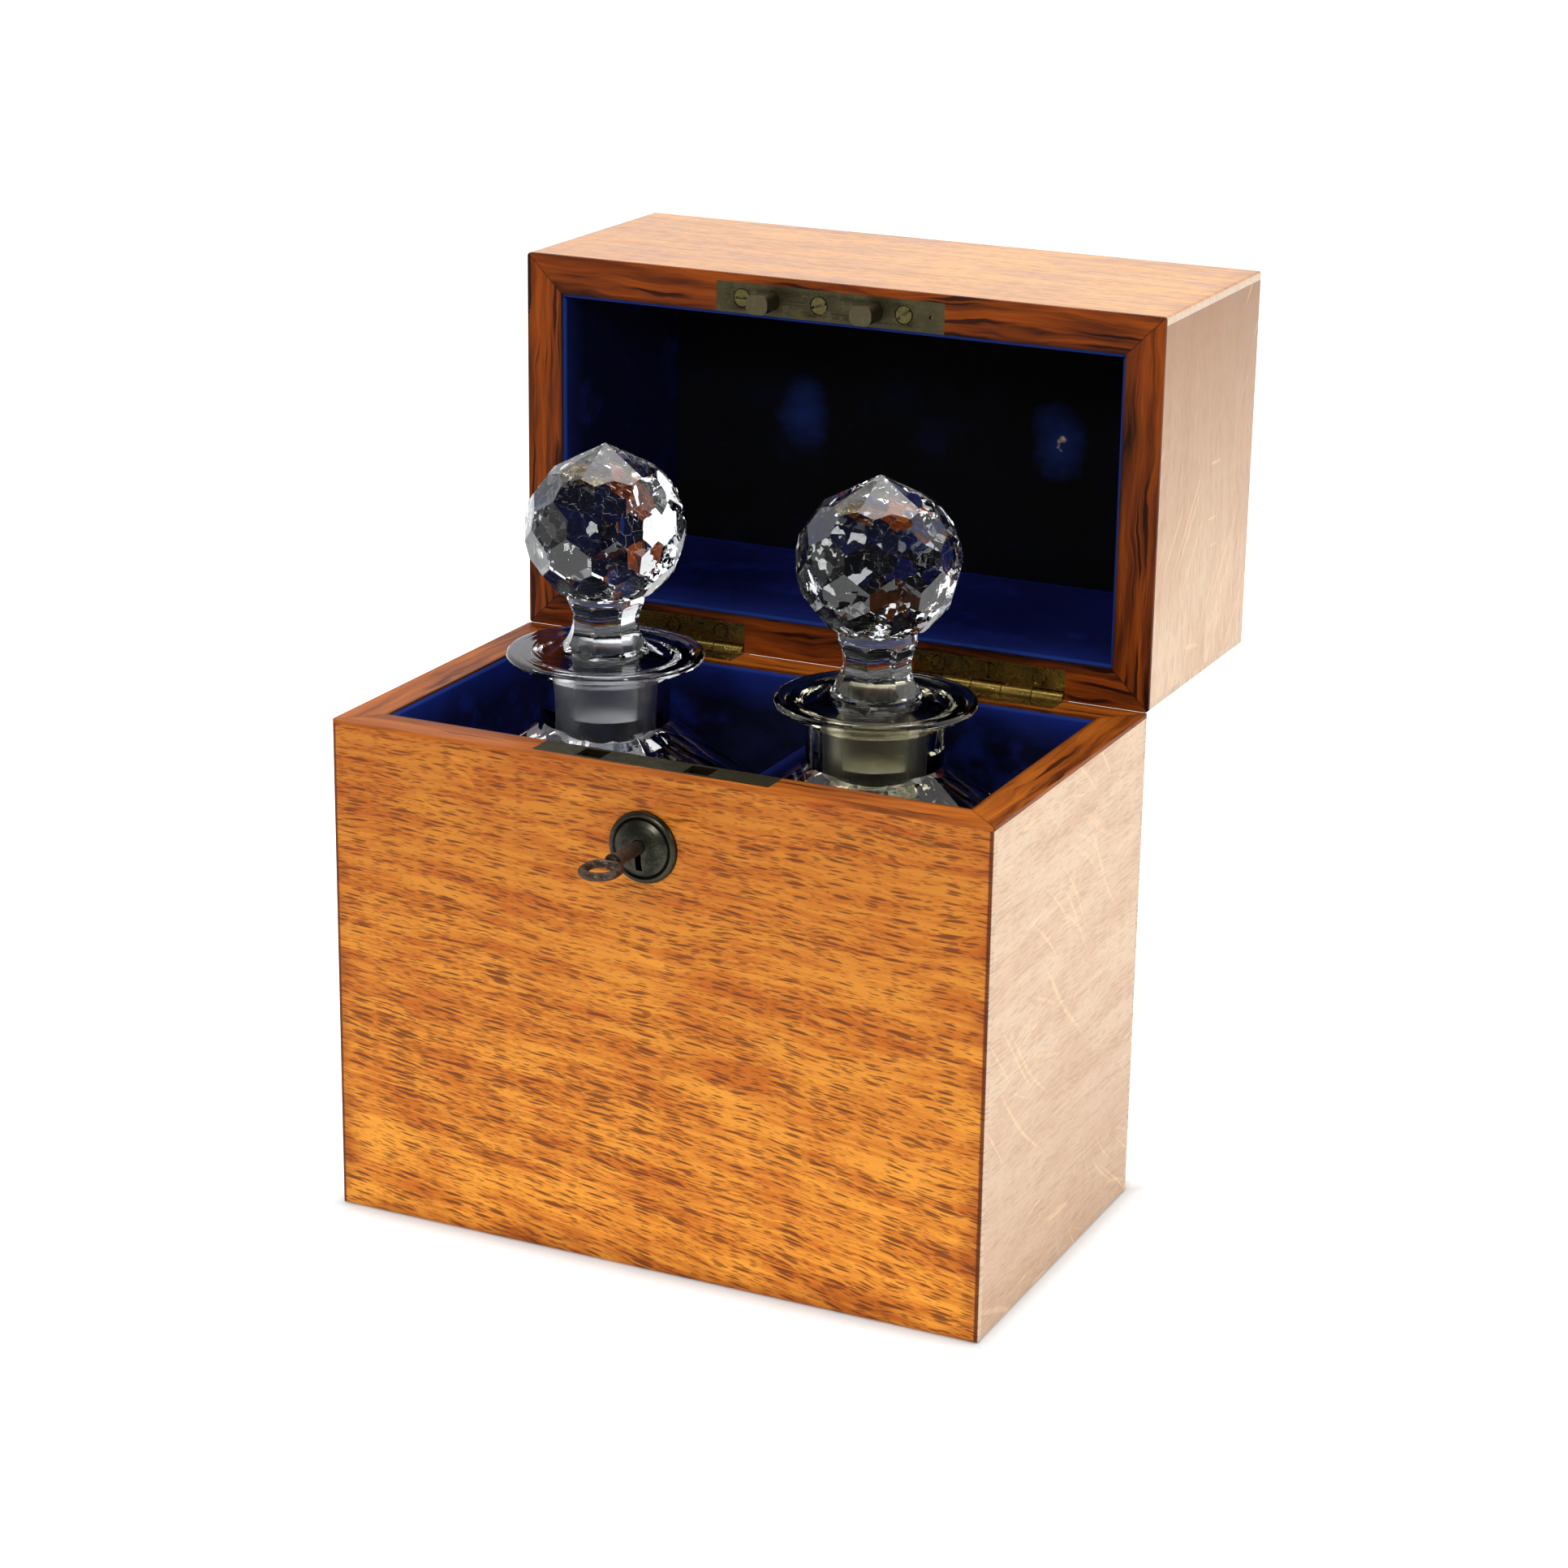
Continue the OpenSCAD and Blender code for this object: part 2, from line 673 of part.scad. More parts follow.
// Bar with two hooked fingers, a talon for the key and two slots for the stumps.
module lock_bolt() {
    bolt_x0 = left_link_x - link_w / 2 - nose_len - finger_gap - finger_len - arm_w;
    bolt_x1 = stump_x + stump_r + slot_fore + 2 * stump_r;
    slot_r = stump_r + key_fit;
    color(brass) at_lock() translate([0, bolt_y0 + bolt_t, 0]) rotate([90, 0, 0])
    linear_extrude(bolt_t) difference() {
        union() {
            translate([bolt_x0, bolt_z0]) square([bolt_x1 - bolt_x0, bolt_h]);
            for (x = link_xs) {
                tip = x - link_w / 2 - nose_len - finger_gap;
                translate([tip - finger_len - arm_w, bolt_z0]) square([arm_w, finger_z1 - bolt_z0]);
                translate([tip - finger_len - arm_w, finger_z0])
                    square([arm_w + finger_len, finger_z1 - finger_z0]);
            }
        }
        translate([-talon_reach - bolt_travel / 2, bolt_z0 - cut])
            square([2 * talon_reach, talon_z1 - bolt_z0 + cut]);
        for (x = [-stump_x, stump_x]) {
            for (end = [x - slot_back, x + slot_fore]) translate([end, stump_z]) circle(slot_r);
            translate([x - slot_back, stump_z - slot_r]) square([slot_back + slot_fore, 2 * slot_r]);
        }
    }
}

// Arched leaf spring on top of the bolt.
module bolt_spring() {
    r = (spring_span * spring_span / 4 + spring_rise * spring_rise) / (2 * spring_rise);
    color(steel) at_lock() translate([spring_x, bolt_y0 + bolt_t, bolt_z1]) rotate([90, 0, 0])
    linear_extrude(bolt_t) intersection() {
        translate([0, spring_rise - r]) difference() {
            circle(r);
            circle(r - spring_t);
        }
        translate([-spring_span / 2, 0]) square([spring_span, 2 * spring_rise]);
    }
}

// Pipe key with an oval wire bow. Its bit points left while the lock is open.
module key() {
    color(steel) at_lock() {
        difference() {
            translate([0, bow_y + bow_end_r + bow_straight / 2, key_z]) rotate([-90, 0, 0])
                cylinder(r = shaft_r, h = key_end_y - bow_y - bow_end_r - bow_straight / 2);
            translate([0, key_end_y - pipe_len, key_z]) rotate([-90, 0, 0])
                cylinder(r = drill_pin_r + pipe_fit, h = pipe_len + cut);
        }
        difference() {
            block([-bit_r, bit_y0, key_z - bit_t / 2], [0, bit_y0 + bit_len, key_z + bit_t / 2]);
            translate([0, bit_y0 - cut, key_z]) rotate([-90, 0, 0])
                cylinder(r = shaft_r - eps, h = bit_len + 2 * cut);
        }
        translate([0, bow_y + bow_end_r + bow_straight / 2 + bow_wire_r, key_z]) rotate([-90, 0, 0])
            cylinder(r = collar_r, h = collar_len);
        for (end = [-1, 1]) {
            translate([0, bow_y + end * bow_straight / 2, key_z]) rotate([0, 0, end > 0 ? 0 : 180])
                rotate_extrude(angle = 180) translate([bow_end_r, 0]) circle(bow_wire_r, $fn = wire_facets);
            translate([end * bow_end_r, bow_y + bow_straight / 2, key_z]) rotate([90, 0, 0])
                cylinder(r = bow_wire_r, h = bow_straight, $fn = wire_facets);
        }
    }
}

// Hinges

// One leaf along X, with its own knuckles, drawn shut. level -1 is the base leaf, 1 the lid leaf.
module hinge_leaf(x, level) {
    z = axis_z + level * rim_gap / 2;
    first = level < 0 ? 0 : 1;
    color(brass) difference() {
        union() {
            block([x - hinge_len / 2, half_d - leaf_w, min(z, z + level * leaf_t)],
                [x + hinge_len / 2, half_d, max(z, z + level * leaf_t)]);
            for (i = [first:2:knuckles - 1]) knuckle(x, i) {
                circle(knuckle_r);
                stop_sector(level, hinge_pin_r);
            }
            translate([x - hinge_len / 2, half_d, axis_z]) rotate([90, 0, 90]) linear_extrude(hinge_len)
                stop_sector(level, lip_in_r);
        }
        for (i = [1 - first:2:knuckles - 1]) {
            start = x - hinge_len / 2 + i * knuckle_pitch - knuckle_gap / 2;
            translate([start, half_d, axis_z]) rotate([0, 90, 0])
                cylinder(r = lip_in_r, h = knuckle_pitch + knuckle_gap);
        }
        translate([x - hinge_len / 2 - cut, half_d, axis_z]) rotate([0, 90, 0])
            cylinder(r = hinge_pin_r + pin_fit, h = hinge_len + 2 * cut);
        leaf_screw_holes(level);
    }
}

// Length of one knuckle, with its section drawn in Y and Z about the pin's axis.
module knuckle(x, i) {
    translate([x - hinge_len / 2 + i * knuckle_pitch, half_d, axis_z]) rotate([90, 0, 90])
        linear_extrude(knuckle_pitch) children();
}

// Section of the stop lip: an eighth of a ring behind the pin, next to the board it is screwed to.
module stop_sector(level, inner_r) {
    reach = 2 * lip_out_r;
    start = stop_play / 2 + eighth_turn;
    mirror([0, level < 0 ? 1 : 0]) intersection() {
        difference() {
            circle(lip_out_r);
            circle(inner_r);
        }
        polygon([[0, 0], [reach * cos(start), reach * sin(start)], [0, reach]]);
    }
}

module left_hinge_base_leaf() { hinge_leaf(-hinge_x, -1); }
module right_hinge_base_leaf() { hinge_leaf(hinge_x, -1); }
module left_hinge_lid_leaf() { opened() hinge_leaf(-hinge_x, 1); }
module right_hinge_lid_leaf() { opened() hinge_leaf(hinge_x, 1); }

module hinge_pin(x) {
    color(brass) translate([x - hinge_len / 2, half_d, axis_z]) rotate([0, 90, 0])
        cylinder(r = hinge_pin_r, h = hinge_len);
}

module left_hinge_pin() { hinge_pin(-hinge_x); }
module right_hinge_pin() { hinge_pin(hinge_x); }

module hinge_base_screws() {
    color(brass) leaf_screw_places(-1) screw(leaf_screw_r, 0);
}

module hinge_lid_screws() {
    color(brass) opened() leaf_screw_places(1) screw(leaf_screw_r, 0);
}

// Lid, drawn shut and then opened

module lid_front() {
    color(oak) opened() difference() {
        intersection() {
            end_board(-1, shut_z + band_t, lid_top_z);
            rounded_block(shut_z - rim_over, lid_h + rim_over);
        }
        panel(lid_top_z - top_t, lid_top_z + cut);
        at_lock() {
            block([-plate_len / 2, plate_y0, shut_z - cut],
                [plate_len / 2, plate_y1 + cut, shut_z + plate_t]);
            link_screw_places() screw_hole(plate_screw_r);
        }
    }
}

module lid_back() {
    color(oak) opened() difference() {
        intersection() {
            end_board(1, shut_z + band_t, lid_top_z);
            rounded_block(shut_z - rim_over, lid_h + rim_over);
        }
        panel(lid_top_z - top_t, lid_top_z + cut);
        hinge_recess(1);
        leaf_screw_holes(1);
    }
}

module lid_side(side) {
    color(oak) opened() difference() {
        intersection() {
            side_board(side, shut_z + band_t, lid_top_z);
            rounded_block(shut_z - rim_over, lid_h + rim_over);
        }
        panel(lid_top_z - top_t, lid_top_z + cut);
    }
}

module lid_left_side() { lid_side(-1); }
module lid_right_side() { lid_side(1); }

module lid_top() {
    color(oak) opened() panel(lid_top_z - top_t, lid_top_z);
}

module lid_rim_band() {
    color(oak_band) opened() difference() {
        intersection() {
            band(shut_z, shut_z + band_t);
            rounded_block(shut_z - rim_over, lid_h + rim_over);
        }
        at_lock() block([-plate_len / 2, plate_y0, shut_z - cut],
            [plate_len / 2, plate_y1 + cut, shut_z + plate_t]);
        hinge_recess(1);
    }
}

module lid_lining(axis, side) {
    color(velvet) opened() wall_lining(axis, side, shut_z + lining_drop, ceiling_z);
}

module lid_front_lining() { lid_lining("y", -1); }
module lid_back_lining() { lid_lining("y", 1); }
module lid_left_lining() { lid_lining("x", -1); }
module lid_right_lining() { lid_lining("x", 1); }

module lid_top_lining() {
    color(velvet) opened() block([-half_w + wall_t, -half_d + wall_t, ceiling_z],
        [half_w - wall_t, half_d - wall_t, lid_top_z - top_t]);
}

module link_plate() {
    color(brass) opened() at_lock() difference() {
        block([-plate_len / 2, plate_y0, shut_z], [plate_len / 2, plate_y1, shut_z + plate_t]);
        link_screw_places() screw_hole(plate_screw_r);
        translate([peep_x, plate_y, shut_z - cut]) cylinder(r = peep_r, h = plate_t + 2 * cut);
    }
}

// Oval outline across the plate, drawn out by a length towards the left.
module link_outline(reach) {
    r = link_w / 2;
    y = link_d / 2 - r;
    for (x = [-reach, 0], side = [-1, 1]) translate([x, side * y]) circle(r);
    translate([-reach - r, -y]) square([reach + 2 * r, 2 * y]);
    if (reach > 0) translate([-reach, -link_d / 2]) square([reach, link_d]);
}

// Two hooked links that stand on the plate and drop into the lock.
module links() {
    color(bronze) opened() at_lock() for (x = link_xs) translate([x, link_y, link_tip_z]) {
        linear_extrude(link_len) link_outline(0);
        linear_extrude(nose_t) link_outline(nose_len);
    }
}

module link_plate_screws() {
    color(brass) opened() at_lock() link_screw_places() screw(plate_screw_r, 0);
}

// Decanters and stoppers

// Square with its corners cut across.
module canted_square(w, c) {
    h = w / 2;
    polygon([[h, -h + c], [h, h - c], [h - c, h], [-h + c, h],
        [-h, h - c], [-h, -h + c], [-h + c, -h], [h - c, -h]]);
}

// Half section of the neck, from its flared foot inside the shoulder to the wide lip.
function neck_section(neck_r, lip_z) =
    let (foot_z = neck_z - flare_lap, brim_r = lip_r - lip_edge_r)
    let (under = lip_z - lip_edge_r, top = lip_z + lip_edge_r)
    concat(
        [[0, foot_z], [neck_r + neck_flare, foot_z], [neck_r, foot_z + neck_flare_h]],
        bow_arc([neck_r, under - lip_cove], [brim_r, under], lip_cove_bulge),
        bow_arc([brim_r, under], [brim_r, top], -lip_edge_r + eps),
        [[plug_top_r + plug_fit, top + lip_crown], [0, top + lip_crown]]);

// Pyramid whose flat sides pass the foot of the neck and fall to the body's corners.
module shoulder_pyramid(neck_r) {
    foot_d = neck_r + flare_step;
    run = (corner_d - foot_d) / shoulder_fall;
    flat_to_corner = 1 / cos(180 / shoulder_sides);
    translate([0, 0, bottle_z]) cylinder(
        r1 = (foot_d + run * (neck_z - bottle_z)) * flat_to_corner,
        r2 = (foot_d - run * shoulder_cap) * flat_to_corner,
        h = neck_z + shoulder_cap - bottle_z, $fn = shoulder_sides);
}

// Inner half section: the hollow body under its shoulder.
function hollow_section() = let (foot = bottle_z + foot_t, mouth = neck_z - glass_t) concat(
    [[0, foot], [wide_r, foot]],
    bow_arc([wide_r, neck_z - shoulder_fall - glass_t - hollow_drop], [plug_foot_r + plug_fit, mouth],
        -hollow_rise),
    [[0, mouth]]);

// Decanter: a square body with canted corners, sixteen flats on its shoulder, a neck and a wide lip.
module decanter(x, neck_r, lip_z) {
    mouth_z = lip_z + lip_edge_r + lip_crown;
    color(glass, 0.5) translate([x, 0, 0]) difference() {
        union() {
            intersection() {
                translate([0, 0, bottle_z]) linear_extrude(lip_z) canted_square(bottle_w, cant);
                shoulder_pyramid(neck_r);
                rotate([0, 0, 180 / shoulder_sides]) shoulder_pyramid(neck_r);
            }
            rotate_extrude() polygon(neck_section(neck_r, lip_z));
        }
        intersection() {
            translate([0, 0, bottle_z]) linear_extrude(lip_z) canted_square(bottle_w - 2 * glass_t, cant);
            rotate_extrude() polygon(hollow_section());
        }
        rotate_extrude() polygon([[0, mouth_z + cut], [plug_top_r + plug_fit, mouth_z + cut],
            [plug_top_r + plug_fit, mouth_z], [plug_foot_r + plug_fit, mouth_z - plug_len - plug_fit],
            [plug_foot_r + plug_fit, neck_z - glass_t - cut], [0, neck_z - glass_t - cut]]);
    }
}

module left_decanter() { decanter(left_x, left_neck_r, left_lip_z); }
module right_decanter() { decanter(right_x, right_neck_r, right_lip_z); }

// Pyramid whose flat sides all lie at one distance from the origin and face one latitude, up or down.
module facet_row(lat, distance, turn) {
    reach = 2 * facet_r;
    side = lat < 0 ? -1 : 1;
    flat_to_corner = 1 / cos(180 / ball_facets);
    foot_r = (distance + reach * sin(abs(lat))) / cos(lat) * flat_to_corner;
    apex_z = min(reach, distance / sin(abs(lat)));
    apex_r = (distance - apex_z * sin(abs(lat))) / cos(lat) * flat_to_corner;
    rotate([0, 0, turn + 180 / ball_facets]) mirror([0, 0, side < 0 ? 1 : 0])
        translate([0, 0, -reach])
            cylinder(r1 = foot_r, r2 = max(apex_r, 0), h = reach + apex_z, $fn = ball_facets);
}

// Faceted ball about the origin, with a pointed crown. Each row is turned half a facet from the last.
module cut_ball() {
    intersection_for(row = [0:ball_rows]) {
        lat = row > 0 ? row_lat - row * row_step : crown_lat;
        facet_row(lat, row > 0 ? facet_r : point_h * sin(crown_lat), row * 180 / ball_facets);
    }
}

// Stopper: a tapered plug, a foot on the lip, a panelled neck and a cut ball.
module stopper(x, lip_z, point_z) {
    seat_z = lip_z + lip_edge_r + lip_crown + seat_gap;
    plug_z = seat_z - plug_len - seat_gap;
    ball_z = point_z - point_h;
    neck_top_z = ball_z - facet_r * sin(ball_foot_lat);
    neck_mid_z = (seat_z + neck_top_z) / 2 + neck_lift;
    panel_turn = 360 / neck_panels;
    color(glass, 0.5) translate([x, 0, 0]) {
        translate([0, 0, ball_z]) cut_ball();
        rotate_extrude() polygon([[0, plug_z], [plug_foot_r, plug_z], [plug_top_r, seat_z - seat_gap],
            [plug_top_r, seat_z], [0, seat_z]]);
        rotate([0, 0, 90 / ball_facets]) difference() {
            translate([0, 0, seat_z])
                cylinder(r1 = stopper_foot_r, r2 = neck_top_r, h = neck_top_z - seat_z + neck_sink);
            for (i = [0:neck_panels - 1]) rotate([0, 0, (i + 0.5) * panel_turn])
                translate([stopper_neck_r + neck_wheel_r, 0, neck_mid_z]) rotate([90, 0, 0])
                    cylinder(r = neck_wheel_r, h = 4 * stopper_foot_r, center = true);
        }
    }
}

module left_stopper() { stopper(left_x, left_lip_z, left_point_z); }
module right_stopper() { stopper(right_x, right_lip_z, right_point_z); }

base_front();
base_back();
base_left_side();
base_right_side();
base_bottom();
base_rim_band();
base_front_lining();
base_back_lining();
base_left_lining();
base_right_lining();
base_floor_lining();
partition();
keyhole_boss();
lock_plate();
lock_case();
lock_cap();
lock_drill_pin();
lock_screws();
lock_bolt();
bolt_spring();
key();
left_hinge_base_leaf();
right_hinge_base_leaf();
left_hinge_lid_leaf();
right_hinge_lid_leaf();
left_hinge_pin();
right_hinge_pin();
hinge_base_screws();
hinge_lid_screws();
lid_front();
lid_back();
lid_left_side();
lid_right_side();
lid_top();
lid_rim_band();
lid_front_lining();
lid_back_lining();
lid_left_lining();
lid_right_lining();
lid_top_lining();
link_plate();
links();
link_plate_screws();
left_decanter();
right_decanter();
left_stopper();
right_stopper();
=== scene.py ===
"""Looks for an oak box for two cut-glass decanters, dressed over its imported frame. Metres throughout."""

import math

import bmesh
import bpy
from mathutils import Matrix, Vector, noise


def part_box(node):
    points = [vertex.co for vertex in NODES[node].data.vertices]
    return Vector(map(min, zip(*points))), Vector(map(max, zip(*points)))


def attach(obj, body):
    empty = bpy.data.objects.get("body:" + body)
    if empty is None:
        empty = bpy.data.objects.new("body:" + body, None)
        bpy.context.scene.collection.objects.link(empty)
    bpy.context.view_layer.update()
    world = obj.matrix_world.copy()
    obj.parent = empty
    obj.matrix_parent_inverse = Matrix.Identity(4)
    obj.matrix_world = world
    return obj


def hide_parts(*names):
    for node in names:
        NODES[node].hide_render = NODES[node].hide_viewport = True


bl_info = {
    "name": "Decanter Box Looks",
    "version": (1, 0, 0),
    "blender": (4, 5, 0),
    "location": "3D View > Sidebar > Decanter Box",
    "description": "Oak, velvet, brass and cut glass for a decanter box",
    "category": "Object",
}

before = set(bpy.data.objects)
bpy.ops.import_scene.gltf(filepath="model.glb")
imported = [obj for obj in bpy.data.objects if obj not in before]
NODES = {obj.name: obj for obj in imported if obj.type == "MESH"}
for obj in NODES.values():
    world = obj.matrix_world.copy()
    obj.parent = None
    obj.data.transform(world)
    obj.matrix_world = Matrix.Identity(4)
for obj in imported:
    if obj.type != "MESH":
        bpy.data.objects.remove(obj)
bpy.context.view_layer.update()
MM = 0.001
X, Y, Z = Vector((1, 0, 0)), Vector((0, 1, 0)), Vector((0, 0, 1))

# Half sizes of the box, and the levels and middles of its base and of its open lid.
HALF_W, HALF_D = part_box("base_back")[1].x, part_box("base_back")[1].y
RIM_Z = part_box("base_rim_band")[1].z
BASE_MID = Vector((0, 0, RIM_Z / 2))
LID_RIM_Y, LID_TOP_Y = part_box("lid_rim_band")[0].y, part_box("lid_front")[1].y
LID_BACK_Z, LID_FRONT_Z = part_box("lid_back")[0].z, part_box("lid_front")[1].z
LID_MID = Vector((0, (LID_RIM_Y + LID_TOP_Y) / 2, (LID_BACK_Z + LID_FRONT_Z) / 2))
HALF_LID = (LID_TOP_Y - LID_RIM_Y) / 2

# The photograph's camera: azimuth, elevation and roll in degrees, the point it looks at and its distance in
# millimetres, and its focal length and the width of its picture in pixels.
CAMERA_ANGLES = (25.2948, 18.2415, 0.8581)
CAMERA_TARGET = (13.9094, 0, 136.8768)
CAMERA_DISTANCE = 1125.0376
FOCAL_PIXELS, PICTURE_PIXELS = 4652.4268, 1932
SPARK_LAMPS = ((-0.50, -1.10, 1.00), (0.35, -1.20, 1.10), (0.80, -0.70, 0.45), (-1.00, -0.40, 0.50),
               (-0.10, -1.30, 0.70))

# Light, middle, aged and pore colours of the boards, and the edges that they show beside other boards.
GOLDEN = ("#f2a23a", "#c86e1e", "#86390a", "#5e2a0a")
# The right sides are pale partly in the wood itself and partly with the polish's glare painted into the
# colour.
PALE_WITH_PAINTED_GLARE = ("#e3c4a4", "#d6ae8a", "#a57a57", "#8a6044")
AMBER = ("#e9a249", "#cb8638", "#964a1a", "#62300e")
TAN = ("#dfa36a", "#c58549", "#925528", "#5f3110")
# The edge that faces right is as pale as the right sides, with the same painted glare.
SIDE_LAPS = ((-X, "#d39a62"), (X, "#ecceb0"))
FRONT_LAP = (Z, "#dca267")
TOP_LAP = (Y, "#d98e3e")

# Length and width in millimetres of the cells of each layer of open pores, and how dark the layer is.
PORE_LAYERS = ((16, 1.7, 1.0), (12, 1.4, 0.9), (8, 1.0, 0.8), (6, 0.8, 0.7))
# How much brighter the rays are than the light wood, in red, green and blue.
RAY_GAIN = (1.22, 1.16, 1.0)
# Step between the points of the velvet, and patches of its unevenness in a metre.
VELVET_STEP = 3.5 * MM
SWELLS = 45
# Steps of the partition's velvet over its top edge and up each side, and the depth of its hollows.
ARC_STEPS, RUNGS = 8, 30
PARTITION_SWELL = 0.12 * MM
# Shares of a rolled edge at which it has points.
ROLL_SHARES = (0, 0.04, 0.14, 0.3, 0.52, 0.76, 1.0)
# Depth of the dents that the stoppers press in the lid's velvet, and the radius where a third of it is left.
DENT_DEPTH, DENT_RADIUS = 0.4 * MM, 4 * MM
# Width in millimetres of the smallest cuts of the stoppers, and radius of the decanters' ground bores.
CUT_WIDTH = 4
BORE = 11.2 * MM


def linear(code):
    """Linear colour of an sRGB hex value."""
    parts = [int(code[i:i + 2], 16) / 255 for i in (1, 3, 5)]
    return tuple(c / 12.92 if c <= 0.04045 else ((c + 0.055) / 1.055) ** 2.4 for c in parts)


def darker(colour, share):
    """A linear colour with only a share of its light."""
    return tuple(share * c for c in colour)


def add(tree, kind, inputs=(), out=0, stops=(), **settings):
    """Adds one shader node with its settings and links, and returns its output out.

    inputs are values or the outputs of other nodes: a row of them fills the first inputs in order, and a dict
    goes by their names or numbers. stops are those of a colour ramp. A Map Range takes the value, the span
    that comes in and the span that goes out. A Mix takes its share at 0, and numbers at 2 and 3, vectors at 4
    and 5 or colours at 6 and 7.
    """
    made = tree.nodes.new("ShaderNode" + kind)
    for name, value in settings.items():
        setattr(made, name, value)
    for name, value in inputs.items() if isinstance(inputs, dict) else enumerate(inputs):
        if isinstance(value, bpy.types.NodeSocket):
            tree.links.new(value, made.inputs[name])
        elif made.inputs[name].type == "RGBA":
            made.inputs[name].default_value = (*value[:3], 1)
        else:
            made.inputs[name].default_value = value
    for i, (place, shade) in enumerate(stops):
        stop = made.color_ramp.elements[i] if i < 2 else made.color_ramp.elements.new(place)
        stop.position = place
        stop.color = (*shade, 1)
    return made.outputs[out] if len(made.outputs) else made


def new_material(name):
    """Empty node material, with its tree."""
    made = bpy.data.materials.new(name)
    made.use_nodes = True
    made.node_tree.nodes.clear()
    return made, made.node_tree


def surface(tree, sockets):
    """Ends a material with one Principled shader, whose sockets are values or links."""
    add(tree, "OutputMaterial", {"Surface": add(tree, "BsdfPrincipled", sockets)})


def dress(names, material):
    """Gives CAD nodes a material in their own slots."""
    for name in names:
        slots = NODES[name].data.materials
        slots.clear()
        slots.append(material)


def middle_of(node):
    """Middle of a CAD node's box."""
    low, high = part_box(node)
    return (low + high) / 2


def place_on(tree, along, across, origin):
    """Place on a piece in millimetres from origin: X along the grain, Y across it and Z through the piece."""
    turn = Matrix((along, across, along.cross(across)))
    return add(tree, "Mapping", {
        "Vector": add(tree, "TexCoord", out="Object"), "Scale": (1 / MM, 1 / MM, 1 / MM),
        "Rotation": turn.to_euler(), "Location": -(turn @ Vector(origin)) / MM})


def inset(tree, at, half):
    """Distance from a place to the nearer of two edges, which lie half to either side of the middle."""
    return add(tree, "Math", (half, add(tree, "Math", (at,), operation="ABSOLUTE")), operation="SUBTRACT")


def patches(tree, place, size, seed, detail=3.0, roughness=0.55):
    """Cloudy pattern from 0 to 1 about 0.5, in patches of size millimetres along each axis of place."""
    shifted = add(tree, "Mapping", {"Vector": place, "Scale": tuple(1 / s for s in size),
                                    "Location": (seed, seed * 0.7, seed * 1.3)})
    return add(tree, "TexNoise", {"Vector": shifted, "Scale": 1.0, "Detail": detail, "Roughness": roughness})


def strokes(tree, place, length, spacing, seed, reach, keep=1.0, crowd=0.0):
    """Mask of short strokes along X of place, one in each cell of length by spacing millimetres.

    reach is the half size of the longest stroke as a share of its cell, keep is the share of the cells that
    have one, and crowd, a value or a link, lengthens or shortens them.
    """
    shortest, fade = 0.3 * reach, 0.35 * reach
    cells = add(tree, "Mapping", {"Vector": place, "Scale": (1 / length, 1 / spacing, 0),
                                  "Location": (seed, seed, 0)})
    far = add(tree, "TexVoronoi", {"Vector": cells, "Scale": 1.0}, voronoi_dimensions="2D")
    chance = add(tree, "SeparateColor", {"Color": far.node.outputs["Color"]})
    size = add(tree, "MapRange", (chance, 1 - keep, 1, shortest, reach), clamp=False)
    size = add(tree, "Math", (size, crowd), operation="ADD")
    drawn = add(tree, "Math", (chance, 1 - keep), operation="GREATER_THAN")
    depth = add(tree, "Math", (size, far), operation="SUBTRACT")
    return add(tree, "MapRange", (depth, 0, fade, 0, drawn))


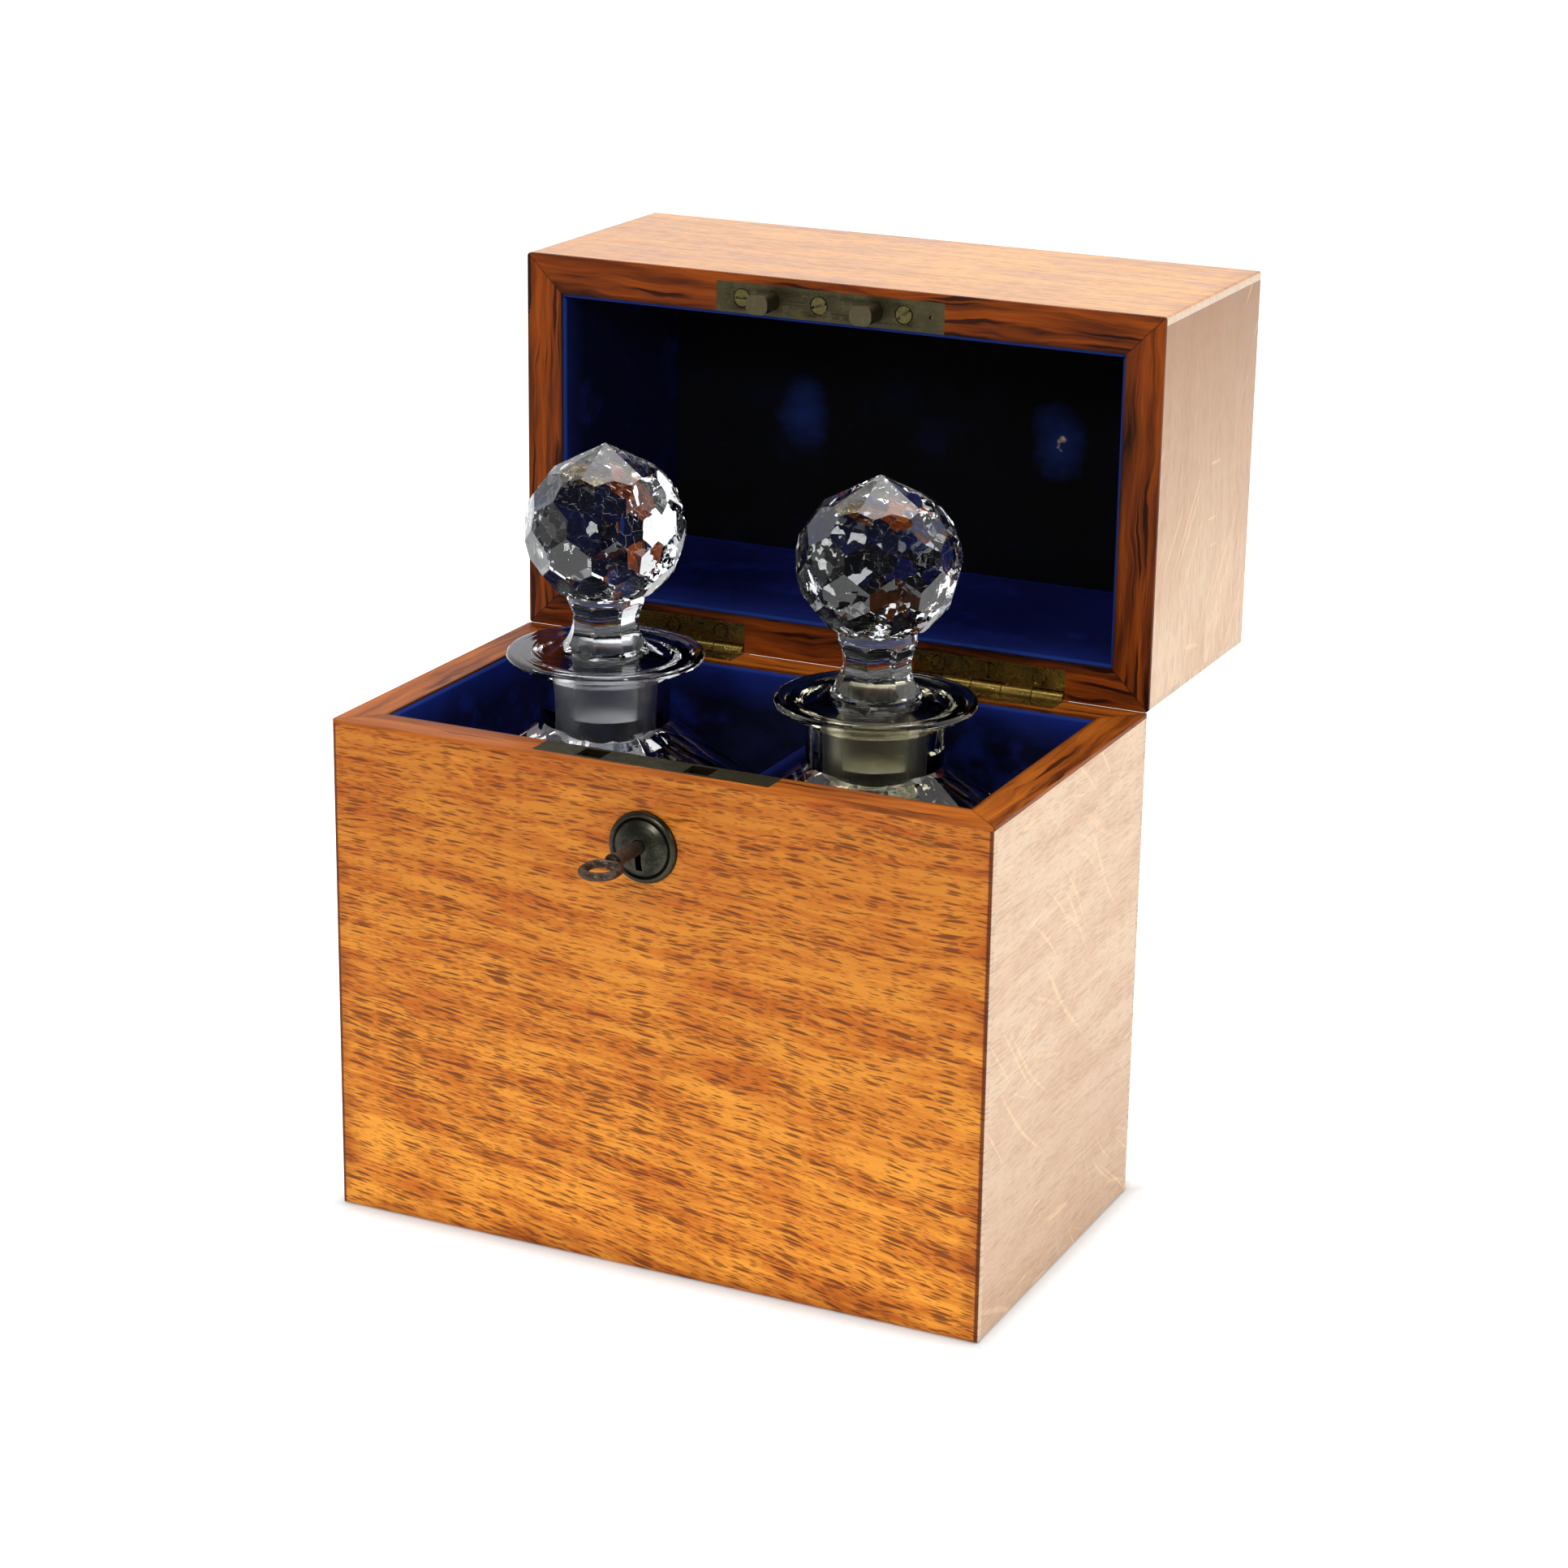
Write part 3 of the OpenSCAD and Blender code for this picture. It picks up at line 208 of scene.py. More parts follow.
def french_polished_oak(name, along, across, centre, half, tones, seed, pores=1.0, slant=(0, 0), rays=(),
                        seam=0.0, laps=(), wear=0.8, shade=((0, 0), (0, 0)), fibre=0.4, gloss=0.12, coat=0.1):
    """Oak veneer with its grain left open, stained and French polished.

    The open pores stay as dark dashes under a thin clear skin, and quarter-sawn faces show pale rays across
    the grain. along is the way the grain runs, and across the way over it on the face. centre and half are
    the middle of the face and half its length and width, in metres. tones are the light, middle, aged and
    pore colours, and pores is how dark the pores are. slant is the lean of the grain at the near and far
    edge, in degrees. rays lists the angle, cell length, cell width, reach, share and strength of each family
    of rays. seam is the width of the dark line down each end of the face, in millimetres. laps lists the
    directions in which the board shows an edge beside other boards, each with the colour of the edge. wear
    is how much handling darkens its edges. shade is painted shade: how much darker the wood is drawn, as
    the light falls off, at the near and the far end along the grain and at the near and the far edge across
    it. fibre is how much the fibres show, gloss the specular level of the wood, and coat the weight of the
    polish.
    """
    material, tree = new_material(name)
    light, middle, aged, pore = [linear(tone) for tone in tones]
    half_u, half_v = half[0] / MM, half[1] / MM
    place = place_on(tree, along, across, centre)
    u, v, w = add(tree, "SeparateXYZ", (place,)).node.outputs

    # The grain leans a little, and wanders by 3 mm.
    near_lean, far_lean = [math.tan(math.radians(angle)) for angle in slant]
    lean = add(tree, "MapRange", (v, -half_v, half_v, near_lean, far_lean))
    wander = patches(tree, place, (60, 24, 24), seed)
    bent = add(tree, "Math", (wander, 7.0, v), operation="MULTIPLY_ADD")
    bent = add(tree, "Math", (u, lean, bent), operation="MULTIPLY_ADD")
    grain = add(tree, "CombineXYZ", (u, bent, w))

    # Growth rings about 5 mm wide, clouds of stain, and fibres drawn 0.9 mm wide, coarser than real, to show.
    rings = patches(tree, grain, (56, 5, 5), seed + 3.1)
    clouds = patches(tree, grain, (30, 13, 13), seed + 7.7)
    fibres = patches(tree, grain, (24, 0.9, 0.9), seed + 1.9, 2.0)
    tone = add(tree, "Math", (fibres, fibre), operation="MULTIPLY")
    tone = add(tree, "Math", (clouds, 0.74 - fibre, tone), operation="MULTIPLY_ADD")
    tone = add(tree, "Math", (rings, 0.26, tone), operation="MULTIPLY_ADD")
    colour = add(tree, "ValToRGB", (tone,), stops=[(0.43, middle), (0.57, light)])

    # Wax and handling darken its edges in a ragged line, and painted shade darkens some of its ends and
    # edges.
    edge_u, edge_v = inset(tree, u, half_u), inset(tree, v, half_v)
    edge = add(tree, "Math", (edge_u, edge_v), operation="MINIMUM")
    ragged = add(tree, "Math", (clouds, 26.0, edge), operation="MULTIPLY_ADD")
    wear_and_shade = add(tree, "MapRange", (ragged, 10, 22, wear, 0))
    painted_shade = 0.0
    for at, reach, (near, far) in zip((u, v), (half_u, half_v), shade):
        ramp = add(tree, "MapRange", (at, -reach, reach, near, far))
        painted_shade = add(tree, "Math", (ramp, painted_shade), operation="ADD")
    wear_and_shade = add(tree, "Math", (wear_and_shade, painted_shade), operation="MAXIMUM")
    colour = add(tree, "Mix", {0: wear_and_shade, 6: colour, 7: aged}, out=2, data_type="RGBA")

    # Rays bow by a few millimetres on their way across the grain, and are a little more golden than the wood.
    bow = patches(tree, place, (60, 60, 60), seed + 2.3, 0.0)
    bow = add(tree, "Math", (bow, 16.0), operation="MULTIPLY")
    bowed = add(tree, "VectorMath", (place, add(tree, "CombineXYZ", (bow, bow))), operation="ADD")
    golden = tuple(min(1.0, c * gain) for c, gain in zip(light, RAY_GAIN))
    for i, (angle, length, spacing, reach, keep, strength) in enumerate(rays):
        turned = add(tree, "VectorRotate", {"Vector": bowed, "Angle": math.radians(angle)},
                     rotation_type="Z_AXIS")
        mask = strokes(tree, turned, length, spacing, seed + 4 * i, reach, keep)
        mask = add(tree, "Math", (mask, strength), operation="MULTIPLY")
        colour = add(tree, "Mix", {0: mask, 6: colour, 7: golden}, out=2, data_type="RGBA")

    # Pores: dashes up to 9 mm long and 1 mm wide, wider than real, so they show. Early wood crowds them.
    early = add(tree, "Math", (rings, -0.34, 0.17), operation="MULTIPLY_ADD")
    open_grain = 0.0
    for length, spacing, depth in PORE_LAYERS:
        layer = strokes(tree, grain, length, spacing, seed + length, reach=0.29, keep=0.95, crowd=early)
        layer = add(tree, "Math", (layer, depth), operation="MULTIPLY")
        open_grain = add(tree, "Math", (layer, open_grain), operation="MAXIMUM")
    dark = add(tree, "Math", (open_grain, pores), operation="MULTIPLY")
    colour = add(tree, "Mix", {0: dark, 6: colour, 7: pore}, out=2, data_type="RGBA")

    if seam:
        line = add(tree, "MapRange", (edge_u, 0.7 * seam, seam, 0.85, 0))
        colour = add(tree, "Mix", {0: line, 6: colour, 7: linear("#4a1a04")}, out=2, data_type="RGBA")
    for way, shown in laps:
        normal = add(tree, "TexCoord", out="Normal")
        facing = add(tree, "VectorMath", (normal, way), out="Value", operation="DOT_PRODUCT")
        facing = add(tree, "MapRange", (facing, 0.7, 0.9))
        shown = linear(shown)
        lap = add(tree, "Mix", {0: fibres, 6: darker(shown, 0.7), 7: shown}, out=2, data_type="RGBA")
        specks = add(tree, "Math", (dark, 0.35), operation="MULTIPLY")
        lap = add(tree, "Mix", {0: specks, 6: lap, 7: pore}, out=2, data_type="RGBA")
        colour = add(tree, "Mix", {0: facing, 6: colour, 7: lap}, out=2, data_type="RGBA")

    # The skin of polish sinks into the pores and ripples over 6 mm.
    ripples = patches(tree, place, (8, 5, 5), seed + 6)
    height = add(tree, "Math", (open_grain, -0.6, ripples), operation="MULTIPLY_ADD")
    bump = add(tree, "Bump", {"Height": height, "Strength": 0.35, "Distance": 0.12 * MM})
    rough = add(tree, "MapRange", (clouds, 0.3, 0.7, 0.4, 0.55))
    surface(tree, {"Base Color": colour, "Roughness": rough, "Normal": bump, "IOR": 1.5,
                   "Specular IOR Level": gloss, "Coat Weight": coat, "Coat Roughness": 0.18})
    return material


def streaked_rim_veneer(name, across, centre, tones, seed, coat):
    """Strips of dark oak veneer round a rim, mitred at the corners and oiled, with black streaks in them."""
    material, tree = new_material(name)
    light, middle, dark = [linear(tone) for tone in tones]
    place = place_on(tree, X, across, centre)
    u, v, w = add(tree, "SeparateXYZ", (place,)).node.outputs
    edge_u, edge_v = inset(tree, u, HALF_W / MM), inset(tree, v, HALF_D / MM)
    on_side = add(tree, "Math", (edge_u, edge_v), operation="LESS_THAN")
    turned = add(tree, "CombineXYZ", (v, u, w))
    grain = add(tree, "Mix", {0: on_side, 4: place, 5: turned}, out=1, data_type="VECTOR")

    # Broad bands, streaks 3 mm wide that bend over 40 mm, fibres of 0.6 mm, and black veins along them.
    bend = add(tree, "Math", (patches(tree, grain, (40, 12, 12), seed), 9.0), operation="MULTIPLY")
    bent = add(tree, "VectorMath", (grain, add(tree, "CombineXYZ", {1: bend})), operation="ADD")
    figure = patches(tree, bent, (46, 3.0, 3.0), seed + 2, 2.0)
    fibres = patches(tree, bent, (16, 0.6, 0.6), seed + 4)
    broad = patches(tree, bent, (60, 13, 13), seed + 8, 1.0)
    tone = add(tree, "Math", (figure, 0.4), operation="MULTIPLY")
    tone = add(tree, "Math", (fibres, 0.22, tone), operation="MULTIPLY_ADD")
    tone = add(tree, "Math", (broad, 0.38, tone), operation="MULTIPLY_ADD")
    colour = add(tree, "ValToRGB", (tone,), stops=[(0.36, dark), (0.62, light), (0.47, middle)])
    veins = strokes(tree, bent, 50, 2.2, seed + 5, reach=0.4, keep=0.5)
    veins = add(tree, "Math", (veins, 0.85), operation="MULTIPLY")
    colour = add(tree, "Mix", {0: veins, 6: colour, 7: darker(dark, 0.4)}, out=2, data_type="RGBA")

    # A hairline at each mitre, and a darker band over the last 1.5 mm beside the lining.
    off_mitre = add(tree, "Math", (edge_u, edge_v), operation="SUBTRACT")
    off_mitre = add(tree, "Math", (off_mitre,), operation="ABSOLUTE")
    hairline = add(tree, "MapRange", (off_mitre, 0.15, 0.5, 0.5, 0))
    inward = add(tree, "Math", (edge_u, edge_v), operation="MINIMUM")
    hairline_and_inner_dark = add(tree, "MapRange", (inward, 10.5, 12, 0, 0.7))
    hairline_and_inner_dark = add(tree, "Math", (hairline, hairline_and_inner_dark), operation="MAXIMUM")
    colour = add(tree, "Mix", {0: hairline_and_inner_dark, 6: colour, 7: darker(dark, 0.35)}, out=2, data_type="RGBA")
    bump = add(tree, "Bump", {"Height": fibres, "Strength": 0.2, "Distance": 0.1 * MM})
    surface(tree, {"Base Color": colour, "Roughness": 0.45, "Normal": bump, "IOR": 1.5,
                   "Specular IOR Level": 0.08, "Coat Weight": coat, "Coat Roughness": 0.22})
    return material


def silk_velvet(name, pile, nap_and_sheen_blue, sheen, edge, fade, marks=()):
    """Silk velvet glued over card: near black into the pile, royal blue where brushed, and painted sheen at
    an edge.

    edge is the axis and the place, in metres, of the edge that shows, and fade how far the painted blue sheen
    reaches from it, in millimetres. marks are the x and z of the dents that the stoppers' points press in it,
    each with a flag that says whether the pile is worn through.
    """
    material, tree = new_material(name)
    place = place_on(tree, X, Y, (0, 0, 0))
    sweep = patches(tree, place, (30, 26, 22), 2.0, 2.5)
    crush = patches(tree, place, (8, 7, 6), 5.0)
    nap = add(tree, "Math", (sweep, 0.65), operation="MULTIPLY")
    nap = add(tree, "Math", (crush, 0.35, nap), operation="MULTIPLY_ADD")
    dark, blue = linear(pile), linear(nap_and_sheen_blue)
    colour = add(tree, "ValToRGB", (nap,), stops=[(0.40, darker(dark, 0.5)), (0.72, blue), (0.54, dark)])

    # Painted sheen in blue along the edge that shows, and a painted highlight, bluer still, on the millimetre
    # that rolls over it.
    axis, level = edge
    away = add(tree, "SeparateXYZ", (place,), out=axis)
    away = add(tree, "Math", (away, level / MM), operation="SUBTRACT")
    away = add(tree, "Math", (away,), operation="ABSOLUTE")
    painted_sheen = add(tree, "Math", (nap, 2 * fade, away), operation="MULTIPLY_ADD")
    painted_sheen = add(tree, "MapRange", (painted_sheen, 0.8 * fade, 2.0 * fade, 0.85, 0))
    colour = add(tree, "Mix", {0: painted_sheen, 6: colour, 7: blue}, out=2, data_type="RGBA")
    painted_roll_highlight = add(tree, "MapRange", (away, 0.3, 1.0, 0.8, 0))
    colour = add(tree, "Mix", {0: painted_roll_highlight, 6: colour, 7: linear("#172f6e")}, out=2, data_type="RGBA")

    # Ragged marks that fade out 18 mm from their middles, with a few millimetres of bare card in a worn one.
    for x, z, bare in marks:
        near = add(tree, "VectorMath", (place, (x / MM, 0, z / MM)), operation="SUBTRACT")
        near = add(tree, "VectorMath", (near, (1.15, 0, 0.85)), operation="MULTIPLY")
        far = add(tree, "VectorMath", (near,), out="Value", operation="LENGTH")
        far = add(tree, "Math", (crush, 12.0, far), operation="MULTIPLY_ADD")
        pressed = add(tree, "MapRange", (far, 6, 18, 0.5, 0))
        colour = add(tree, "Mix", {0: pressed, 6: colour, 7: linear("#1a2f70")}, out=2, data_type="RGBA")
        if bare:
            spot = add(tree, "MapRange", (far, 6.6, 7.8, 0.9, 0))
            colour = add(tree, "Mix", {0: spot, 6: colour, 7: linear("#b09c72")}, out=2, data_type="RGBA")

    # The pile is too fine to show, so its tufts are drawn 0.5 mm wide.
    tufts = patches(tree, place, (0.5, 0.5, 0.5), 8.0, 1.0)
    bump = add(tree, "Bump", {"Height": tufts, "Strength": 0.5, "Distance": 0.25 * MM})
    surface(tree, {"Base Color": colour, "Normal": bump, "Roughness": 0.95, "Specular IOR Level": 0.1,
                   "Sheen Weight": sheen, "Sheen Roughness": 0.3, "Sheen Tint": linear("#2038d0")})
    return material


def tarnished_metal(name, metal, tarnish, cover, roughness, blotch=4.0):
    """Brass, bronze or steel, cast or rolled and then filed: bare where a dull skin is rubbed off.

    cover is the share under tarnish, and blotch the size of its patches in millimetres.
    """
    material, tree = new_material(name)
    place = place_on(tree, X, Y, (0, 0, 0))
    skin = patches(tree, place, (blotch, 0.7 * blotch, 0.8 * blotch), 3.0, 4.0, 0.65)
    specks = patches(tree, place, (0.8, 0.7, 0.7), 6.0)
    scores = patches(tree, place, (7, 0.25, 0.25), 9.0, 2.0)
    skin = add(tree, "Math", (skin, 0.6), operation="MULTIPLY")
    skin = add(tree, "Math", (specks, 0.3, skin), operation="MULTIPLY_ADD")
    skin = add(tree, "Math", (scores, 0.1, skin), operation="MULTIPLY_ADD")
    bare_at = 0.5 + 0.2 * (0.5 - cover)
    dull = add(tree, "MapRange", (skin, bare_at - 0.07, bare_at + 0.07))
    # Edges that stand proud are rubbed bright.
    proud = add(tree, "NewGeometry", out="Pointiness")
    proud = add(tree, "MapRange", (proud, 0.5, 0.56, 1, 0.3))
    dull = add(tree, "Math", (dull, proud), operation="MULTIPLY")
    colour = add(tree, "Mix", {0: dull, 6: linear(metal), 7: linear(tarnish)}, out=2, data_type="RGBA")
    rough = add(tree, "MapRange", (dull, 0, 1, roughness, roughness + 0.2))
    bump = add(tree, "Bump", {"Height": skin, "Strength": 0.3, "Distance": 0.1 * MM})
    surface(tree, {"Base Color": colour, "Roughness": rough, "Normal": bump, "Metallic": 1.0})
    return material


def lead_crystal(name, tint, ground_roughness, axis_x, ground, ripple, tilt):
    """Lead crystal, blown, cut on the wheel and polished: clear, heavy and brilliant.

    The plug and the bore it sits in are left ground, so they look grey and milky. ground is the radius within
    which and the level below which the glass is ground, in metres, about the upright axis at axis_x. ripple
    is the height of the rings left by the wheel, and tilt the slope of the small cuts.
    """
    material, tree = new_material(name)
    radius, level = ground[0] / MM, ground[1] / MM
    place = place_on(tree, X, Y, (axis_x, 0, 0))
    flat = add(tree, "VectorMath", (place, (1, 1, 0)), operation="MULTIPLY")
    off = add(tree, "VectorMath", (flat,), out="Value", operation="LENGTH")
    up = add(tree, "SeparateXYZ", (place,), out=2)
    inside = add(tree, "Math", (off, radius), operation="LESS_THAN")
    below = add(tree, "Math", (up, level), operation="LESS_THAN")
    rough = add(tree, "Math", (inside, below), operation="MULTIPLY")
    rough = add(tree, "Math", (rough, ground_roughness), operation="MULTIPLY")

    # Rings that the wheel left: 1.5 mm wide, so they are far too shallow to feel but they bend the light.
    # On the lip, which starts 7 mm under the level, they are deeper.
    rings = add(tree, "CombineXYZ", {0: off, 2: up})
    deep = add(tree, "MapRange", (up, level - 7, level - 6, 1, 4))
    depth = patches(tree, rings, (1.5, 1.5, 1.5), 4.0, 1.0)
    depth = add(tree, "Math", (depth, deep), operation="MULTIPLY")
    normal = add(tree, "Bump", {"Height": depth, "Strength": 1.0, "Distance": ripple})
    if tilt:
        # Small cuts, each tilted its own way by a degree or two, split up what a facet shows.
        cuts = add(tree, "TexVoronoi", {"Vector": place, "Scale": 1 / CUT_WIDTH}, distance="CHEBYCHEV")
        colour, centre = cuts.node.outputs["Color"], cuts.node.outputs["Position"]
        slope = add(tree, "VectorMath", (colour, (0.5, 0.5, 0.5)), operation="SUBTRACT")
        within = add(tree, "VectorMath", (place, centre), operation="SUBTRACT")
        height = add(tree, "VectorMath", (slope, within), out="Value", operation="DOT_PRODUCT")
        normal = add(tree, "Bump", {"Height": height, "Strength": 1.0, "Distance": tilt * MM,
                                    "Normal": normal})
    surface(tree, {"Base Color": linear(tint), "Roughness": rough, "IOR": 1.545, "Normal": normal,
                   "Transmission Weight": 1.0})
    return material


def finish_piece(name, bm, body, material, nodes):
    """Turns a bmesh into a named piece that rides on a body and stands for CAD nodes."""
    mesh = bpy.data.meshes.new(name)
    bmesh.ops.recalc_face_normals(bm, faces=bm.faces[:])
    bm.to_mesh(mesh)
    bm.free()
    mesh.materials.append(material)
    piece = bpy.data.objects.new(name, mesh)
    bpy.context.scene.collection.objects.link(piece)
    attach(piece, body)
    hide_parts(*nodes)


def spread(length, roll):
    """Places along a length: close together over the rolled edges and a step apart between them."""
    near = [roll * share for share in ROLL_SHARES]
    count = max(1, round((length - 2 * roll) / VELVET_STEP))
    middle = [roll + (length - 2 * roll) * i / count for i in range(1, count)]
    return near + middle + [length - place for place in reversed(near)]


def hollow(point):
    """How deep the glued velvet sinks at a point, from 0 to 1."""
    return 0.5 + 0.5 * noise.noise(Vector(point) * SWELLS)


def velvet_card(node, out, body, material, roll, swell, dents=()):
    """Velvet over card in a CAD lining's place: rolled at its edges and a little uneven, to catch the light.

    out is the way the pile faces. dents are the x, z, depth and radius of the marks pressed in it.
    """
    low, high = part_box(node)
    axis = max(range(3), key=lambda i: abs(out[i]))
    side = 1 if out[axis] > 0 else -1
    along, across = [i for i in range(3) if i != axis]
    thick = high[axis] - low[axis]
    back = low[axis] if side > 0 else high[axis]
    roll = min(roll, thick)
    columns, lines = [spread(high[i] - low[i], roll) for i in (along, across)]
    bm = bmesh.new()
    rows = []
    for du in columns:
        row = []
        for dv in lines:
            inward = min(du, columns[-1] - du, dv, lines[-1] - dv)
            # The edge is a quarter circle, and the hollows start 4 mm inside it.
            rise = math.sqrt(max(0.0, 1 - (1 - min(inward / roll, 1.0)) ** 2))
            point = Vector((0, 0, 0))
            point[along], point[across] = low[along] + du, low[across] + dv
            sink = swell * hollow((point[along], point[across], back))
            sink *= min(inward / (4 * MM), 1.0)
            for x, z, depth, radius in dents:
                sink += depth * math.exp(-((point.x - x) ** 2 + (point.z - z) ** 2) / radius ** 2)
            point[axis] = back + side * (thick - min(sink, 0.7 * thick)) * rise
            row.append(bm.verts.new(point))
        rows.append(row)
    for i in range(len(columns) - 1):
        for j in range(len(lines) - 1):
            corners = (rows[i][j], rows[i + 1][j], rows[i + 1][j + 1], rows[i][j + 1])
            bm.faces.new(corners).smooth = True
    # One flat face closes the back.
    far_edge, near_edge = [row[-1] for row in rows[1:]], [row[0] for row in rows[-2:0:-1]]
    bm.faces.new(rows[0] + far_edge + rows[-1][-2::-1] + near_edge)
    finish_piece(node.replace("lining", "velvet"), bm, body, material, [node])


def padded_partition(node, body, material, roll):
    """Card covered in velvet on both sides, with a rolled top edge."""
    low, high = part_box(node)
    half = (high.x - low.x) / 2
    middle = (high.x + low.x) / 2
    arc = [(middle + half * math.cos(math.pi * i / ARC_STEPS),
            high.z - half + half * math.sin(math.pi * i / ARC_STEPS)) for i in range(ARC_STEPS + 1)]
    rungs = [low.z + (high.z - half - low.z) * i / RUNGS for i in range(RUNGS)]
    section = [(high.x, z) for z in rungs] + arc + [(low.x, z) for z in reversed(rungs)]
    places = [low.y + d for d in spread(high.y - low.y, roll)]
    bm = bmesh.new()
    rings = []
    for y in places:
        ring = []
        for x, z in section:
            sink = PARTITION_SWELL * hollow((x, y, z))
            ring.append(bm.verts.new((x - math.copysign(min(sink, abs(x - middle)), x - middle), y, z)))
        rings.append(ring)
    for a, b in zip(rings, rings[1:]):
        for i in range(len(section)):
            j = (i + 1) % len(section)
            bm.faces.new((a[i], a[j], b[j], b[i])).smooth = True
    bm.faces.new(rings[0])
    bm.faces.new(rings[-1])
    finish_piece("velvet_partition", bm, body, material, [node])


class StageSettings(bpy.types.PropertyGroup):
    floor_size: bpy.props.FloatProperty(
        name="Floor size", description="Side of the square floor", default=24.0, min=2.0, unit="LENGTH")
    floor_colour: bpy.props.FloatVectorProperty(
        name="Floor colour", description="Colour of the paper floor", size=3, default=linear("#f7f7f7"),
        subtype="COLOR")
    ambient: bpy.props.FloatProperty(
        name="Ambient light", description="Strength of the even light of the room", default=0.56, min=0.0)
    overhead_power: bpy.props.FloatProperty(
        name="Overhead softbox", description="Power of the softbox above", default=9.0, min=0.0, unit="POWER")
    side_power: bpy.props.FloatProperty(
        name="Side softbox", description="Power of the softbox on the right", default=5.0, min=0.0,
        unit="POWER")
    front_power: bpy.props.FloatProperty(
        name="Front softbox", description="Power of the small softbox in front", default=9.0, min=0.0,
        unit="POWER")
    spark_power: bpy.props.FloatProperty(
        name="Spark lamps", description="Power of each small lamp that the cut glass and the metal mirror",
        default=0.6, min=0.0, unit="POWER")


class OakSettings(bpy.types.PropertyGroup):
    pore_strength: bpy.props.FloatProperty(
        name="Pore strength", description="How dark the open pores are", default=0.85, min=0.0, max=1.0,
        subtype="FACTOR")
    ray_strength: bpy.props.FloatProperty(
        name="Ray strength", description="How pale the rays of the sides are", default=0.6, min=0.0, max=1.0,
        subtype="FACTOR")
    coat: bpy.props.FloatProperty(
        name="Polish", description="Weight of the clear skin of French polish", default=0.08, min=0.0,
        max=1.0, subtype="FACTOR")


class VelvetSettings(bpy.types.PropertyGroup):
    roll: bpy.props.FloatProperty(
        name="Rolled edge", description="Width over which the velvet turns an edge", default=0.9 * MM,
        min=0.1 * MM, unit="LENGTH")
    swell: bpy.props.FloatProperty(
        name="Unevenness", description="Depth of the hollows in the glued velvet", default=0.25 * MM,
        min=0.0, unit="LENGTH")
    sheen: bpy.props.FloatProperty(
        name="Sheen", description="Strength of the blue sheen of the silk pile", default=0.9, min=0.0,
        max=1.0, subtype="FACTOR")


class MetalSettings(bpy.types.PropertyGroup):
    brass_cover: bpy.props.FloatProperty(
        name="Tarnish on the brass", description="Share of the brass that is dull", default=0.65, min=0.0,
        max=1.0, subtype="FACTOR")
    steel_cover: bpy.props.FloatProperty(
        name="Rust on the key", description="Share of the key that is rusted", default=0.6, min=0.0, max=1.0,
        subtype="FACTOR")


class GlassSettings(bpy.types.PropertyGroup):
    ground_roughness: bpy.props.FloatProperty(
        name="Ground glass", description="Roughness of the ground plug and bore", default=0.35, min=0.0,
        max=1.0, subtype="FACTOR")


def aim(thing, place, target, roll=0.0):
    """Stands a lamp or camera at place, looking at target, turned by roll about its view."""
    back = (Vector(place) - Vector(target)).normalized()
    right = Z.cross(back).normalized()
    up = back.cross(right)
    cosine, sine = math.cos(roll), math.sin(roll)
    axes = (right * cosine + up * sine, up * cosine - right * sine, back)
    matrix = Matrix(axes).transposed().to_4x4()
    matrix.translation = Vector(place)
    thing.matrix_world = matrix
    bpy.context.scene.collection.objects.link(thing)


def softbox(name, place, target, size, power):
    """Rectangular area lamp that looks at target."""
    lamp = bpy.data.lights.new(name, "AREA")
    lamp.shape = "RECTANGLE"
    lamp.size, lamp.size_y = size
    lamp.energy = power
    aim(bpy.data.objects.new(name, lamp), place, target)


def seen_rays(tree):
    """1 for rays that are seen, straight or in metal and glass, and 0 for others; and 1 for straight ones."""
    path = add(tree, "LightPath").node.outputs
    straight = path["Is Camera Ray"]
    mirrored = add(tree, "Math", (path["Is Glossy Ray"], path["Is Transmission Ray"]), operation="MAXIMUM")
    return add(tree, "Math", (straight, mirrored), operation="MAXIMUM"), straight


